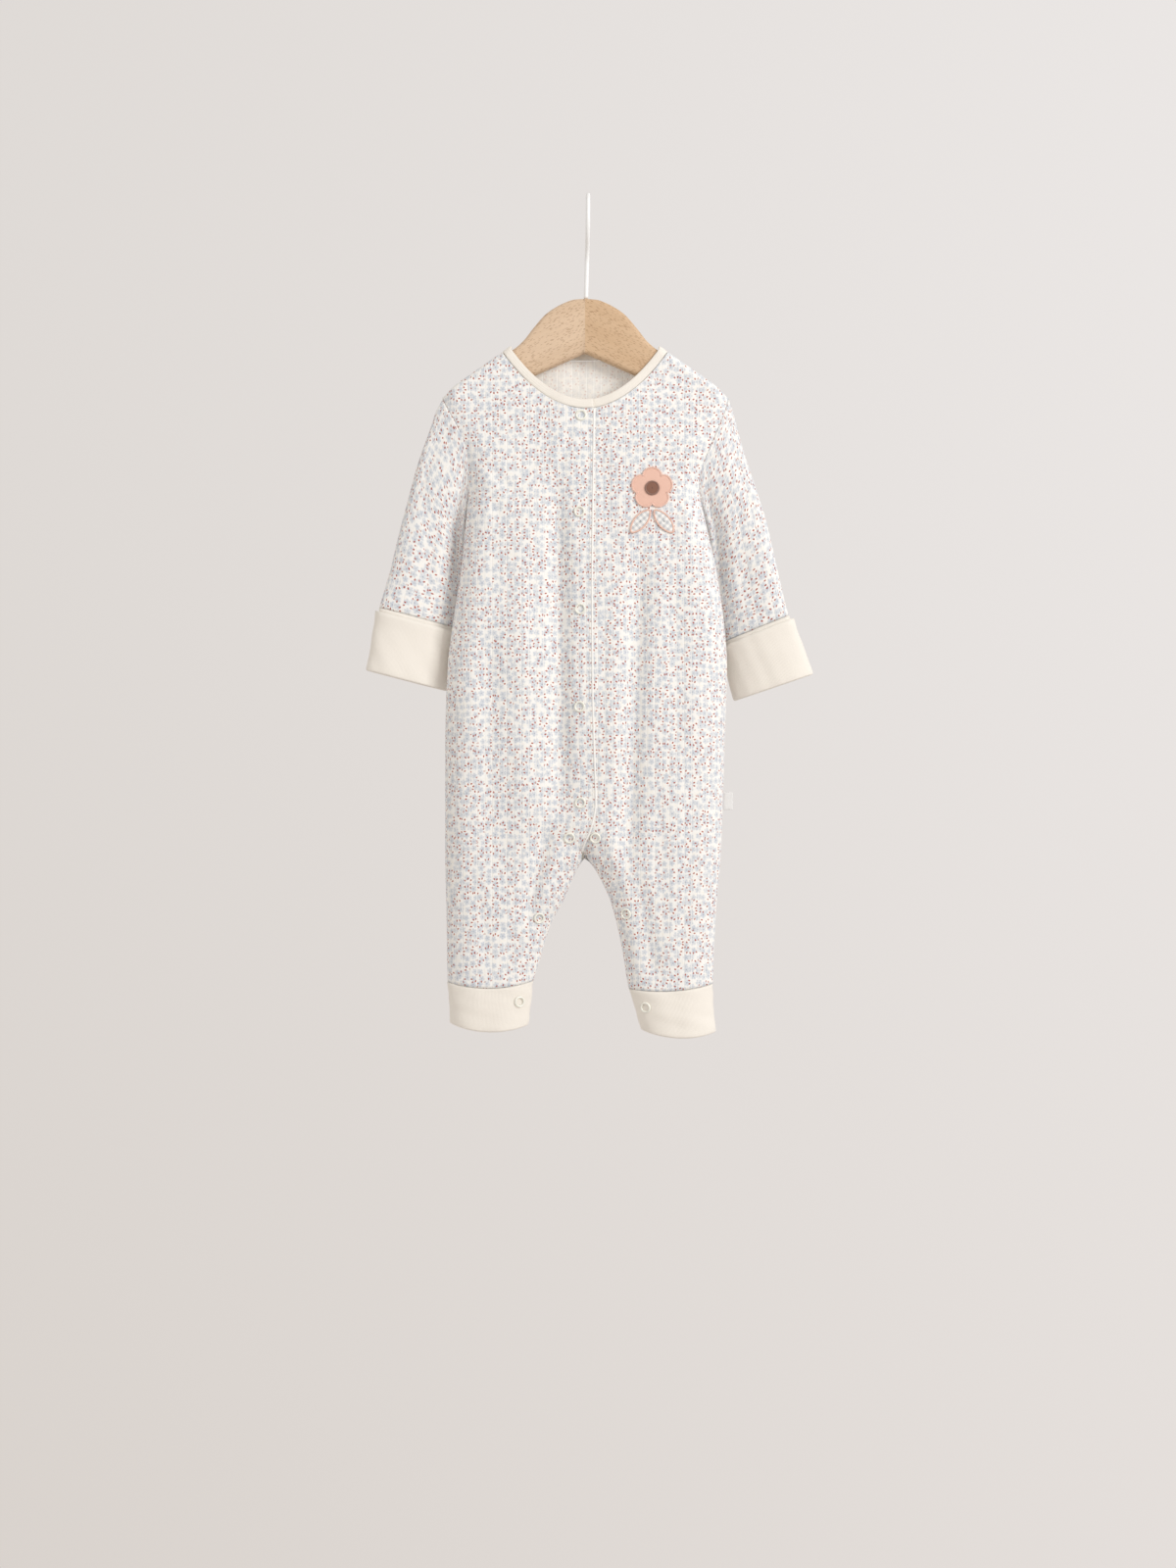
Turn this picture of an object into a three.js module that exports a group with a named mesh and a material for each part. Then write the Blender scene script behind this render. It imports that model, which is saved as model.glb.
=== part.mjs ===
// A baby's sleepsuit hanging on a child's wooden hanger.
// Millimetres, +Z up, +X to the right as seen from the front, and the front faces -Y.
// The origin is the highest point inside the hook, where a rail bears on it.
// Right and left are the wearer's, so the right sleeve is at -X.
// A drop is a distance down from the origin, so a point's z is minus its drop.

import * as THREE from "three";

// Walls and spaces
const CLOTH = 1.2;
const SEAM = 0.3;
const BINDING = 1.6;
const TRIM = 0.8;
const CUFF_LAYERS = 2.1;
const LAP = 1.05;

// Middle of the neck, the crotch and the hanger
const MIDDLE = -2.4;
const CROTCH_DROP = 538;
const HEM_DROP = 642;

// Neck opening: half widths, and drops of its edge at the shoulder
const NECK = { half: 60, drop: 125, frontSag: 41, bandWide: 7.6, bandDrop: 2.4, bandSag: 5.4, band: 7.5 };

// Shoulder line over the arms of the hanger, and how the cloth rounds over an arm
const SHOULDER = { out: NECK.half + NECK.bandWide, drop: NECK.drop + NECK.bandDrop, slope: 0.696 };
const SHOULDER_LEAN = 1 / Math.hypot(1, SHOULDER.slope);
const ARM = { thick: 12, edge: 4, clear: 0.5 };
const OVER_ARM = { flat: ARM.thick / 2 - ARM.edge, round: ARM.edge + ARM.clear + CLOTH / 2 };
const FILL_OUT = 70;

// Armhole, from the shoulder tip to the underarm
const ARMHOLE = { top: 162, bottom: 248, half: 8, across: 0.967, down: 0.253, ease: 14 };

// Outer edges of the body and legs, and the width over which each edge rounds
const SIDES = [
  { drop: 162, right: -120, left: 116, round: 12 },
  { drop: 174, right: -114, left: 112, round: 14 },
  { drop: 184, right: -108, left: 108, round: 15 },
  { drop: 203, right: -100, left: 100, round: 16 },
  { drop: 223, right: -97, left: 92, round: 18 },
  { drop: 235, right: -97, left: 90, round: 18 },
  { drop: 263, right: -99, left: 95, round: 20 },
  { drop: 303, right: -103, left: 104, round: 22 },
  { drop: 343, right: -109, left: 110, round: 25 },
  { drop: 383, right: -114, left: 113, round: 28 },
  { drop: 447, right: -116, left: 111, round: 30 },
  { drop: 535, right: -116, left: 108, round: 30 },
  { drop: 583, right: -115, left: 104, round: 28 },
  { drop: 642, right: -114, left: 101.5, round: 26 },
  { drop: 660, right: -112.5, left: 102, round: 25 },
  { drop: 690, right: -112, left: 104.5, round: 25 },
];

// How far the front and the back stand out from the middle plane
const DEPTHS = [
  { drop: 125, front: 9, back: 9 },
  { drop: 170, front: 12, back: 10 },
  { drop: 230, front: 16, back: 11 },
  { drop: 320, front: 20, back: 12 },
  { drop: 430, front: 23, back: 16 },
  { drop: 500, front: 22, back: 18 },
  { drop: 560, front: 19, back: 17 },
  { drop: 642, front: 16, back: 14 },
  { drop: 690, front: 16, back: 14 },
];

// Inner edges of the legs below the crotch
const INSEAMS = [
  { drop: 538, right: -2.4, left: -2.4 },
  { drop: 546, right: -8, left: 4.5 },
  { drop: 559, right: -14, left: 12 },
  { drop: 575, right: -21, left: 19 },
  { drop: 591, right: -30, left: 23.5 },
  { drop: 607, right: -35.5, left: 27 },
  { drop: 623, right: -40, left: 30 },
  { drop: 642, right: -45.5, left: 33 },
  { drop: 660, right: -47.5, left: 38 },
  { drop: 690, right: -50.5, left: 47 },
];
const CROTCH_ROUND = 26;

// Front edges: the right front lies over the left front
const PLACKET = [
  { drop: 174, over: 4.8, under: -16 },
  { drop: 239, over: 4, under: -16 },
  { drop: 319, over: 3.2, under: -16 },
  { drop: 399, over: 3.6, under: -16 },
  { drop: 447, over: 4.8, under: -16 },
  { drop: 495, over: 6.2, under: -14 },
  { drop: 512, over: 3.2, under: -10 },
  { drop: 521, over: 0, under: -6 },
  { drop: 530, over: -4, under: -1 },
  { drop: 538, over: -5.8, under: 1.2 },
];
const OVER_RAMP = { from: -36, to: -18 };
const UNDER_RAMP = { from: 22, to: 6 };

// Long folds: a positive depth is a trough, a negative one a ridge
const FOLDS = [
  { face: "front", x0: -25, drop0: 205, x1: -22, drop1: 515, width: 8, depth: 4.5 },
  { face: "front", x0: 43, drop0: 262, x1: 31, drop1: 585, width: 9, depth: 5.5 },
  { face: "front", x0: -80, drop0: 330, x1: -80, drop1: 575, width: 10, depth: 2.5 },
  { face: "front", x0: -31, drop0: 505, x1: -52, drop1: 600, width: 7, depth: 4.5 },
  { face: "front", x0: 38, drop0: 545, x1: 56, drop1: 650, width: 8, depth: 3 },
  { face: "front", x0: -54, drop0: 250, x1: -52, drop1: 540, width: 12, depth: -2 },
  { face: "back", x0: -60, drop0: 190, x1: -52, drop1: 540, width: 10, depth: 4 },
  { face: "back", x0: 10, drop0: 180, x1: 4, drop1: 500, width: 11, depth: 3.5 },
  { face: "back", x0: 58, drop0: 210, x1: 62, drop1: 600, width: 10, depth: 4.5 },
  { face: "back", x0: -84, drop0: 400, x1: -76, drop1: 630, width: 9, depth: 2.5 },
];
const FOLD_ENDS = 0.25;

// Drops of the hem and of the cuff's end on each leg, at its outer edge, inner edge and middle
const LEGS = {
  right: { hemOuter: 640, hemInner: 639.3, hemSag: 5.2, endOuter: 673.6, endInner: 675.2, endSag: 5.6 },
  left: { hemOuter: 641.6, hemInner: 645.6, hemSag: 3.5, endOuter: 680.8, endInner: 679.2, endSag: 5 },
};

// Sleeve sections: the outer fold line, the inner underarm line and half the thickness
const SLEEVES = {
  right: [
    { along: 0, outX: -120.8, outY: 0, outDrop: 162.6, inX: -99.5, inY: 0, inDrop: 247.5, half: 8 },
    { along: 0.2, outX: -132, outY: 0, outDrop: 197, inX: -101.6, inY: 4.5, inDrop: 266, half: 9.5 },
    { along: 0.45, outX: -144.5, outY: 0, outDrop: 240, inX: -101.6, inY: 10, inDrop: 288, half: 11 },
    { along: 0.7, outX: -156, outY: -0.5, outDrop: 284, inX: -103.5, inY: 12.5, inDrop: 315, half: 11 },
    { along: 1, outX: -169.5, outY: -1, outDrop: 335, inX: -108.5, inY: 14.5, inDrop: 351, half: 10 },
  ],
  left: [
    { along: 0, outX: 116.8, outY: 0, outDrop: 162.6, inX: 94.5, inY: 0, inDrop: 247.5, half: 8 },
    { along: 0.2, outX: 124.5, outY: 0, outDrop: 199.5, inX: 98, inY: 4.5, inDrop: 264, half: 9.5 },
    { along: 0.45, outX: 138, outY: 0, outDrop: 243, inX: 101.2, inY: 10, inDrop: 288, half: 11 },
    { along: 0.7, outX: 150.3, outY: -0.5, outDrop: 287, inX: 105, inY: 12.5, inDrop: 322, half: 11 },
    { along: 1, outX: 163, outY: -1, outDrop: 341.5, inX: 110, inY: 15.5, inDrop: 363, half: 10 },
  ],
};
const UNDERARM = { from: 215, space: 1.7 };
const SLEEVE_JOIN = 0.4;
const SLEEVE_FOLD = { angle: 2.25, width: 0.32, depth: 4 };

// Turned-back sleeve cuffs: where their lower edges end, and how far the outer layer's edge is from the seam
const SLEEVE_CUFFS = {
  right: { outX: -178.4, outY: 0, outDrop: 386, inX: -118.2, inY: 14, inDrop: 401.5, half: 11 },
  left: { outX: 181.6, outY: 0, outDrop: 389.2, inX: 122.2, inY: 15, inDrop: 409.4, half: 11 },
};
const CUFF_EDGE = 3;

// Snap rings: where each centre lies and on which front
const SNAP = { radius: 4.6, hole: 3.2, high: 0.9, sides: 10 };
const SNAPS = [
  { front: "right", x: -5.6, drop: 179.4 },
  { front: "right", x: -6.9, drop: 257.9 },
  { front: "right", x: -6.1, drop: 337.1 },
  { front: "right", x: -6.6, drop: 416.4 },
  { front: "right", x: -6.1, drop: 494.2 },
  { front: "right", x: -15, drop: 522.6 },
  { front: "left", x: 6, drop: 522.6 },
  { front: "right", x: -39.8, drop: 587.8 },
  { front: "left", x: 31.2, drop: 584.4 },
  { front: "right", x: -56, drop: 656 },
  { front: "left", x: 47.2, drop: 660.6 },
];

// Tab in the left side seam
const LABEL = { out: 7, high: 14.5, drop: 485.6, y: -1.4, apart: 0.5 };

// Flower sewn on the left front
const FLOWER = { x: 52, drop: 239, petals: 5, radius: 17, waist: 0.7 };
const FLOWER_CENTRE = { x: 52, drop: 239, radius: 5.4 };
const LEAVES = [
  { x: 42.5, drop: 266, long: 24, wide: 10, turn: 0.7 },
  { x: 61.5, drop: 266, long: 24, wide: 10, turn: -0.7 },
];

// Wooden hanger, as distances out from its middle
const WOOD_TOP = [
  { out: 0.15, drop: 83.2 },
  { out: 9, drop: 83.9 },
  { out: 17, drop: 86.6 },
  { out: 25, drop: 90.8 },
  { out: 32, drop: 95.8 },
  { out: 42, drop: 107 },
  { out: 50, drop: 117.2 },
  { out: 56, drop: 122.8 },
  { out: 60, drop: 125.6 },
  { out: 72, drop: 134.4 },
];
const WOOD_TIP = { notchOut: 75, topOut: 99, tipOut: 106.5, bottomOut: 97 };
const WOOD_UNDER = { drop: 127.6, slope: 0.445 };

// Wire hook, bent in the plane across the rail
const HOOK = { wire: 3.5, inner: 19, back: -0.35, turn: 3.75, straightDrop: 56, end: 82.9 };
const HOOK_BEND = { leave: 11, enter: 13 };
const HOOK_LEAN = { x: -1.6, from: 20 };

const COLOURS = {
  print: { color: 0xe9e2d8, roughness: 0.95, metalness: 0 },
  band: { color: 0xf0e8dc, roughness: 0.95, metalness: 0 },
  snap: { color: 0xf1ece2, roughness: 0.4, metalness: 0 },
  petal: { color: 0xe9b9a2, roughness: 0.95, metalness: 0 },
  middle: { color: 0x8f6a50, roughness: 0.95, metalness: 0 },
  leaf: { color: 0xc7cbc9, roughness: 0.95, metalness: 0 },
  wood: { color: 0xdcbd97, roughness: 0.55, metalness: 0 },
  wire: { color: 0xf2f2f0, roughness: 0.35, metalness: 0 },
};

// Numbers

const clamp = (value, low, high) => Math.min(high, Math.max(low, value));
const mix = (a, b, t) => a + (b - a) * t;
const vector = (x, y, drop) => new THREE.Vector3(x, y, -drop);

// 0 to 1 with level ends
function smooth(t) {
  const s = clamp(t, 0, 1);
  return s * s * (3 - 2 * s);
}

// 0 at an edge to 1 at a width from it, as a quarter circle when power is a half
function rounded(t, power = 0.5) {
  const s = clamp(t, 0, 1);
  return (s * (2 - s)) ** power;
}

// A smooth line through one column of a table, which never runs past its rows
function track(table, column, by = "drop") {
  const at = table.map((row) => row[by]);
  const value = table.map((row) => row[column]);
  const last = at.length - 1;
  const slope = (i) => (value[i + 1] - value[i]) / (at[i + 1] - at[i]);
  const tangent = at.map((_, i) => {
    const before = slope(Math.max(i - 1, 0));
    const after = slope(Math.min(i, last - 1));
    return before * after <= 0 ? 0 : (2 * before * after) / (before + after);
  });
  return (where) => {
    const w = clamp(where, at[0], at[last]);
    let i = 0;
    while (i < last - 1 && w > at[i + 1]) i += 1;
    const span = at[i + 1] - at[i];
    const t = (w - at[i]) / span;
    const start = value[i] * (1 + 2 * t) * (1 - t) ** 2 + tangent[i] * span * t * (1 - t) ** 2;
    const finish = value[i + 1] * t * t * (3 - 2 * t) - tangent[i + 1] * span * t * t * (1 - t);
    return start + finish;
  };
}

const sideX = { right: track(SIDES, "right"), left: track(SIDES, "left") };
const sideRound = track(SIDES, "round");
const depth = { front: track(DEPTHS, "front"), back: track(DEPTHS, "back") };
const inseamX = { right: track(INSEAMS, "right"), left: track(INSEAMS, "left") };
const placketX = { right: track(PLACKET, "over"), left: track(PLACKET, "under") };
const outward = { right: -1, left: 1 };

// Form of the body

const shoulderDrop = (x) => SHOULDER.drop + SHOULDER.slope * (Math.abs(x - MIDDLE) - SHOULDER.out);

// Neck edge at u from -1 to 1 across, and w from 0 at the edge to 1 where the binding ends
const neckX = (u, w) => MIDDLE + (NECK.half + NECK.bandWide * w) * u;
function neckDrop(face, u, w) {
  const sag = (face === "front" ? NECK.frontSag : 0) + NECK.bandSag * w;
  return NECK.drop + NECK.bandDrop * w + sag * (1 - u * u);
}

// Half the opening between front and back where the sleeve joins them
function armholeGap(drop) {
  const t = clamp((drop - ARMHOLE.top) / (ARMHOLE.bottom - ARMHOLE.top), 0, 1);
  return ARMHOLE.half * Math.sin(Math.PI * t) ** 0.7;
}

// Distance from the crotch above it, and from the nearer inseam below it
function legDistance(x, drop) {
  if (drop <= CROTCH_DROP) return Math.hypot(x - MIDDLE, CROTCH_DROP - drop);
  return Math.abs(x - inseamX[x < MIDDLE ? "right" : "left"](drop));
}

// Edge of the armhole on the front or back, carrying the way its wall is cut above the underarm
function armholeEdge(face, side, drop, space = 0) {
  const edge = (at) => {
    const open = SEAM / 2 + armholeGap(at);
    return vector(sideX[side](at), face === "front" ? -open : open, at);
  };
  const at = clamp(drop, ARMHOLE.top + 0.4, ARMHOLE.bottom - 0.4);
  const away = new THREE.Vector3(outward[side] * ARMHOLE.across, 0, -ARMHOLE.down);
  const middle = vector(sideX[side](drop), 0, (ARMHOLE.top + ARMHOLE.bottom) / 2);
  const point = edge(drop).addScaledVector(away, space);
  if (drop > UNDERARM.from + 1) return point;
  const cut = edge(at + 0.3).sub(edge(at - 0.3)).cross(away).normalize();
  if (cut.dot(point.clone().sub(middle)) < 0) cut.negate();
  point.cut = cut;
  return point;
}

function foldDepth(face, x, drop) {
  let total = 0;
  for (const fold of FOLDS) {
    const t = (drop - fold.drop0) / (fold.drop1 - fold.drop0);
    if (fold.face !== face || t <= 0 || t >= 1) continue;
    const off = (x - mix(fold.x0, fold.x1, t)) / fold.width;
    total += fold.depth * Math.exp(-off * off) * smooth(t / FOLD_ENDS) * smooth((1 - t) / FOLD_ENDS);
  }
  return total;
}

// Distance of the front's or the back's cloth from the middle plane
function standOut(face, x, drop) {
  const side = x < MIDDLE ? "right" : "left";
  const below = (drop - shoulderDrop(x)) * SHOULDER_LEAN;
  const overArm = below > 0.01 ? OVER_ARM.flat + OVER_ARM.round * rounded(below / OVER_ARM.round) : 0;
  const fuller = depth[face](drop) - OVER_ARM.flat - OVER_ARM.round;
  const crotch = rounded(legDistance(x, drop) / CROTCH_ROUND);
  const open = smooth((ARMHOLE.bottom + ARMHOLE.ease - drop) / (2 * ARMHOLE.ease));
  const edge = rounded(Math.abs(x - sideX[side](drop)) / sideRound(drop), mix(0.5, 1, open));
  const full = (overArm + fuller * smooth(below / FILL_OUT)) * crotch;
  return SEAM / 2 + mix(armholeGap(drop), full - foldDepth(face, x, drop) * crotch, edge);
}

// The cloth's normal where it rounds over an arm of the hanger
function overArmNormal(face, x, drop) {
  const below = (drop - shoulderDrop(x)) * SHOULDER_LEAN;
  const up = 1 - clamp(below / OVER_ARM.round, 0, 1);
  const normal = new THREE.Vector3(Math.sign(x - MIDDLE) * SHOULDER.slope, 0, 1).setLength(up);
  return normal.setY((face === "front" ? -1 : 1) * Math.sqrt(1 - up * up));
}

// How far a front is shifted where the two fronts lap
function lapShift(side, x) {
  const ramp = side === "right" ? OVER_RAMP : UNDER_RAMP;
  return outward[side] * LAP * smooth((x - ramp.from) / (ramp.to - ramp.from));
}

const frontPoint = (side, x, drop) => vector(x, -standOut("front", x, drop) + lapShift(side, x), drop);
const backPoint = (x, drop) => vector(x, standOut("back", x, drop), drop);

function frontNormal(side, x, drop) {
  const step = 1.5;
  const across = frontPoint(side, x + step, drop).sub(frontPoint(side, x - step, drop));
  const down = frontPoint(side, x, drop + step).sub(frontPoint(side, x, drop - step));
  return down.cross(across).normalize();
}

// Hem and cuff end on a leg, at c from -1 at the outer edge to 1 at the inner edge
function legDrop(side, end, c) {
  const leg = LEGS[side];
  return mix(leg[`${end}Outer`], leg[`${end}Inner`], (c + 1) / 2) + leg[`${end}Sag`] * (1 - c * c);
}

// Meshes

// Points and triangles of a grid, closed round when wrap is set
function grid(columns, rows, place, wrap = false) {
  const points = [];
  const faces = [];
  for (let j = 0; j < rows; j += 1) {
    for (let i = 0; i < columns; i += 1) points.push(place(i, j));
  }
  for (let j = 0; j < rows - 1; j += 1) {
    for (let i = 0; i < (wrap ? columns : columns - 1); i += 1) {
      const a = j * columns + i;
      const b = j * columns + ((i + 1) % columns);
      faces.push([a, b, b + columns], [a, b + columns, a + columns]);
    }
  }
  return { points, faces };
}

// A disc of rings round a middle point, its outline given by angle
function disc(sides, rings, place) {
  const points = [place(0, 0)];
  const faces = [];
  const at = (ring, i) => 1 + (ring - 1) * sides + (i % sides);
  for (let ring = 1; ring <= rings; ring += 1) {
    for (let i = 0; i < sides; i += 1) points.push(place(ring / rings, (2 * Math.PI * i) / sides));
  }
  for (let i = 0; i < sides; i += 1) {
    faces.push([0, at(1, i), at(1, i + 1)]);
    for (let ring = 1; ring < rings; ring += 1) {
      faces.push([at(ring, i), at(ring + 1, i), at(ring + 1, i + 1)]);
      faces.push([at(ring, i), at(ring + 1, i + 1), at(ring, i + 1)]);
    }
  }
  return { points, faces };
}

// Joins sheets where their points meet
function weld(...sheets) {
  const points = [];
  const faces = [];
  const seen = new Map();
  for (const sheet of sheets) {
    const index = sheet.points.map((point) => {
      const key = point.toArray().map((value) => Math.round(value * 1000)).join();
      if (!seen.has(key)) seen.set(key, points.push(point) - 1);
      return seen.get(key);
    });
    for (const face of sheet.faces) faces.push(face.map((i) => index[i]));
  }
  return { points, faces };
}

// Turns a sheet into a wall, half its thickness to each side, and closes the wall's edges.
// A point's own cut takes the place of the sheet's normal there.
function thicken({ points, faces }, thickness, keep = (point) => point) {
  const normals = points.map(() => new THREE.Vector3());
  const edges = new Map();
  for (const [a, b, c] of faces) {
    const across = points[b].clone().sub(points[a]);
    const normal = across.cross(points[c].clone().sub(points[a]));
    for (const i of [a, b, c]) normals[i].add(normal);
    for (const [from, to] of [[a, b], [b, c], [c, a]]) edges.set(`${from},${to}`, [from, to]);
  }
  points.forEach(({ cut }, i) => {
    if (cut) normals[i] = cut.clone().multiplyScalar(Math.sign(cut.dot(normals[i])));
    normals[i].normalize();
  });
  const wall = (sign) => points.map((point, i) => {
    const half = (sign * (typeof thickness === "function" ? thickness(i) : thickness)) / 2;
    return keep(point.clone().addScaledVector(normals[i], half));
  });
  const count = points.length;
  const position = [...wall(1), ...wall(-1)].flatMap((point) => point.toArray());
  const index = faces.flatMap(([a, b, c]) => [a, b, c, count + a, count + c, count + b]);
  for (const [from, to] of edges.values()) {
    if (edges.has(`${to},${from}`)) continue;
    index.push(to, from, count + from, to, count + from, count + to);
  }
  const geometry = new THREE.BufferGeometry();
  geometry.setAttribute("position", new THREE.Float32BufferAttribute(position, 3));
  geometry.setIndex(index);
  return geometry;
}

const suit = new THREE.Group();

function add(name, geometry, colour) {
  geometry.computeVertexNormals();
  const mesh = new THREE.Mesh(geometry, new THREE.MeshStandardMaterial(COLOURS[colour]));
  mesh.name = name;
  suit.add(mesh);
  return mesh;
}

// Body panels

// Columns run from the side to the front edge, closer together at an edge that rounds
const TO_CORNER = [0, 0.035, 0.13, 0.28, 0.48, 0.74, 1];
const PAST_CORNER = [0.006, 0.026];
const TO_EDGE = 6;
const COLUMNS = TO_CORNER.length + PAST_CORNER.length + TO_EDGE;
const SHOULDER_ROWS = 5;

// Rows follow the shoulder and neck first, are level from LEVEL_DROP down and follow the hem at the end
const TOP_ROWS = [0, 0.6, 1.9, 3.8, 7, 12.5, 20, 30, 44];
const LEVEL_DROP = 235;
const LEVEL_ROWS = [
  235, 243, 254, 277, 303, 330, 358, 387, 416, 445, 472, 495, 513, 522, 530, 538, 546, 560, 578, 598,
  620, 642,
];
const TOP_SPAN = 61;
const HEM_FROM = 590;
const LEG_COLUMNS = { from: 470, over: 76 };

const cornerX = (side) => MIDDLE + outward[side] * SHOULDER.out;

// Fractions across a panel at its top, with columns where the neck meets the shoulder and just past it
function topFractions(side, edge) {
  const start = sideX[side](ARMHOLE.top);
  const corner = (cornerX(side) - start) / (edge - start);
  const inner = Array.from({ length: TO_EDGE }, (_, i) => mix(corner, 1, (i + 1) / TO_EDGE));
  return [...TO_CORNER.map((t) => t * corner), ...PAST_CORNER.map((t) => corner + t), ...inner];
}

// Drop of row j in a column that starts at topDrop
function rowDrop(topDrop, j) {
  if (j >= TOP_ROWS.length) return LEVEL_ROWS[j - TOP_ROWS.length];
  const spare = LEVEL_DROP - topDrop - TOP_SPAN;
  return topDrop + TOP_ROWS[j] + spare * smooth((TOP_ROWS[j] - 6) / (TOP_SPAN - 6));
}

const legFraction = (i) => (1 - Math.cos((Math.PI * i) / (COLUMNS - 1))) / 2;

// Sheet of one side of the front or back, from the side seam to the edge that edgeX gives
function panelSheet(face, side, edgeX, place) {
  const topEdge = edgeX(NECK.drop + NECK.bandDrop + NECK.frontSag + NECK.bandSag);
  const top = topFractions(side, topEdge);
  const start = sideX[side](ARMHOLE.top);
  const topDrop = top.map((t, i) => {
    const x = mix(start, topEdge, t);
    if (i < TO_CORNER.length) return shoulderDrop(x);
    return neckDrop(face, (x - MIDDLE) / (NECK.half + NECK.bandWide), 1);
  });
  return grid(COLUMNS, TOP_ROWS.length + LEVEL_ROWS.length, (i, j) => {
    const level = rowDrop(topDrop[i], j);
    if (i === 0 && level < ARMHOLE.bottom) return armholeEdge(face, side, level);
    const c = 2 * legFraction(i) - 1;
    const hem = (legDrop(side, "hem", c) - HEM_DROP) * smooth((level - HEM_FROM) / (HEM_DROP - HEM_FROM));
    const drop = level + hem;
    const t = mix(top[i], legFraction(i), smooth((level - LEG_COLUMNS.from) / LEG_COLUMNS.over));
    const from = sideX[side](j < TOP_ROWS.length ? rowDrop(ARMHOLE.top, j) : drop);
    const x = mix(from, edgeX(drop), t);
    const point = place(x, drop);
    const pastShoulder = i - TO_CORNER.length + 1;
    if (j < SHOULDER_ROWS && pastShoulder >= 0 && pastShoulder <= PAST_CORNER.length) {
      point.cut = overArmNormal(face, x, drop);
    }
    return point;
  });
}

const beforeSplit = (drop) => drop < CROTCH_DROP + 4;
const frontEdge = (side) => (drop) => (beforeSplit(drop) ? placketX : inseamX)[side](drop);
const backEdge = (side) => (drop) => (drop <= CROTCH_DROP ? MIDDLE : inseamX[side](drop));

const keepInFront = (point) => point.setY(Math.min(point.y, -SEAM / 2));
const keepBehind = (point) => point.setY(Math.max(point.y, SEAM / 2));

for (const side of ["right", "left"]) {
  const sheet = panelSheet("front", side, frontEdge(side), (x, drop) => frontPoint(side, x, drop));
  add(`front_${side}`, thicken(sheet, CLOTH, keepInFront), "print");
}
const backHalves = ["right", "left"].map((side) => {
  const sheet = panelSheet("back", side, backEdge(side), backPoint);
  if (side === "left") for (const face of sheet.faces) face.reverse();
  return sheet;
});
add("back", thicken(weld(...backHalves), CLOTH, keepBehind), "print");

// Neck binding

// The binding goes over an arm of the hanger as the cloth does, from the front to the back
function overShoulder(side, w) {
  const x = neckX(outward[side], w);
  const low = (neckDrop("front", 1, w) - shoulderDrop(x)) * SHOULDER_LEAN;
  const steep = Math.acos(1 - low / OVER_ARM.round);
  return [-0.55, 0, 0, 0.55].map((t, i) => {
    const angle = steep * t;
    const flat = (i < 2 ? -1 : 1) * OVER_ARM.flat;
    const rise = (OVER_ARM.round * (1 - Math.cos(angle))) / SHOULDER_LEAN;
    return vector(x, flat + OVER_ARM.round * Math.sin(angle), shoulderDrop(x) + rise);
  });
}

// A line along the binding, drawn in a little at the shoulders
function bindingLine(across) {
  const drawnIn = (u) => across * (1 - 0.04 * smooth((Math.abs(u) - 0.9) / 0.1));
  const stations = (side, edge) => topFractions(side, edge)
    .slice(TO_CORNER.length)
    .map((t) => (mix(sideX[side](ARMHOLE.top), edge, t) - MIDDLE) / (NECK.half + NECK.bandWide));
  const onFront = (side) => stations(side, placketX[side](PLACKET[0].drop))
    .map((u) => frontPoint(side, neckX(u, drawnIn(u)), neckDrop("front", u, drawnIn(u))));
  const onBack = (side) => stations(side, MIDDLE)
    .map((u) => backPoint(neckX(u, drawnIn(u)), neckDrop("back", u, drawnIn(u))));
  return [
    ...onFront("right").reverse(),
    ...overShoulder("right", drawnIn(1)),
    ...onBack("right"),
    ...onBack("left").reverse().slice(1),
    ...overShoulder("left", drawnIn(1)).reverse(),
    ...onFront("left"),
  ];
}

const BINDING_ACROSS = [
  { w: 0, thick: TRIM },
  { w: 0.12, thick: BINDING },
  { w: 0.84, thick: BINDING },
  { w: 1 - SEAM / NECK.band - 0.01, thick: TRIM },
];
const bindingLines = BINDING_ACROSS.map((row) => bindingLine(row.w));
const bindingSheet = grid(bindingLines[0].length, BINDING_ACROSS.length, (i, j) => bindingLines[j][i]);
const bindingThickness = (i) => BINDING_ACROSS[Math.floor(i / bindingLines[0].length)].thick;
add("neck_binding", thicken(bindingSheet, bindingThickness), "band");

// Sleeves and their turned-back cuffs

// A sleeve's points start beside those of the armhole, at the same drops
const ARMHOLE_DROPS = [3, 4, 5, 6, 7, 8, 9, 10].map((j) => rowDrop(ARMHOLE.top, j));
const SLEEVE_ROWS = [0, 0.04, 0.1, 0.18, 0.29, 0.41, 0.54, 0.68, 0.84, 1];
const ringAngle = (i, sides) => (2 * Math.PI * i) / sides;
const { outDrop: ringTop, inDrop: ringEnd } = SLEEVES.right[0];
const angleAt = (drop) => Math.acos(1 - (2 * (drop - ringTop)) / (ringEnd - ringTop));
const SLEEVE_ANGLES = [
  0,
  ...ARMHOLE_DROPS.map(angleAt),
  Math.PI,
  ...ARMHOLE_DROPS.map((drop) => 2 * Math.PI - angleAt(drop)).reverse(),
];

// A flat oval between the fold line and the underarm line, its front at a quarter turn
function oval(section, angle) {
  const outer = vector(section.outX, section.outY, section.outDrop);
  const inner = vector(section.inX, section.inY, section.inDrop);
  const half = outer.clone().sub(inner).multiplyScalar(0.5);
  const along = half.clone().normalize();
  const front = new THREE.Vector3(0, -1, 0).addScaledVector(along, along.y).normalize();
  return inner.add(half)
    .addScaledVector(half, Math.cos(angle))
    .addScaledVector(front, section.half * Math.sin(angle));
}

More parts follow.
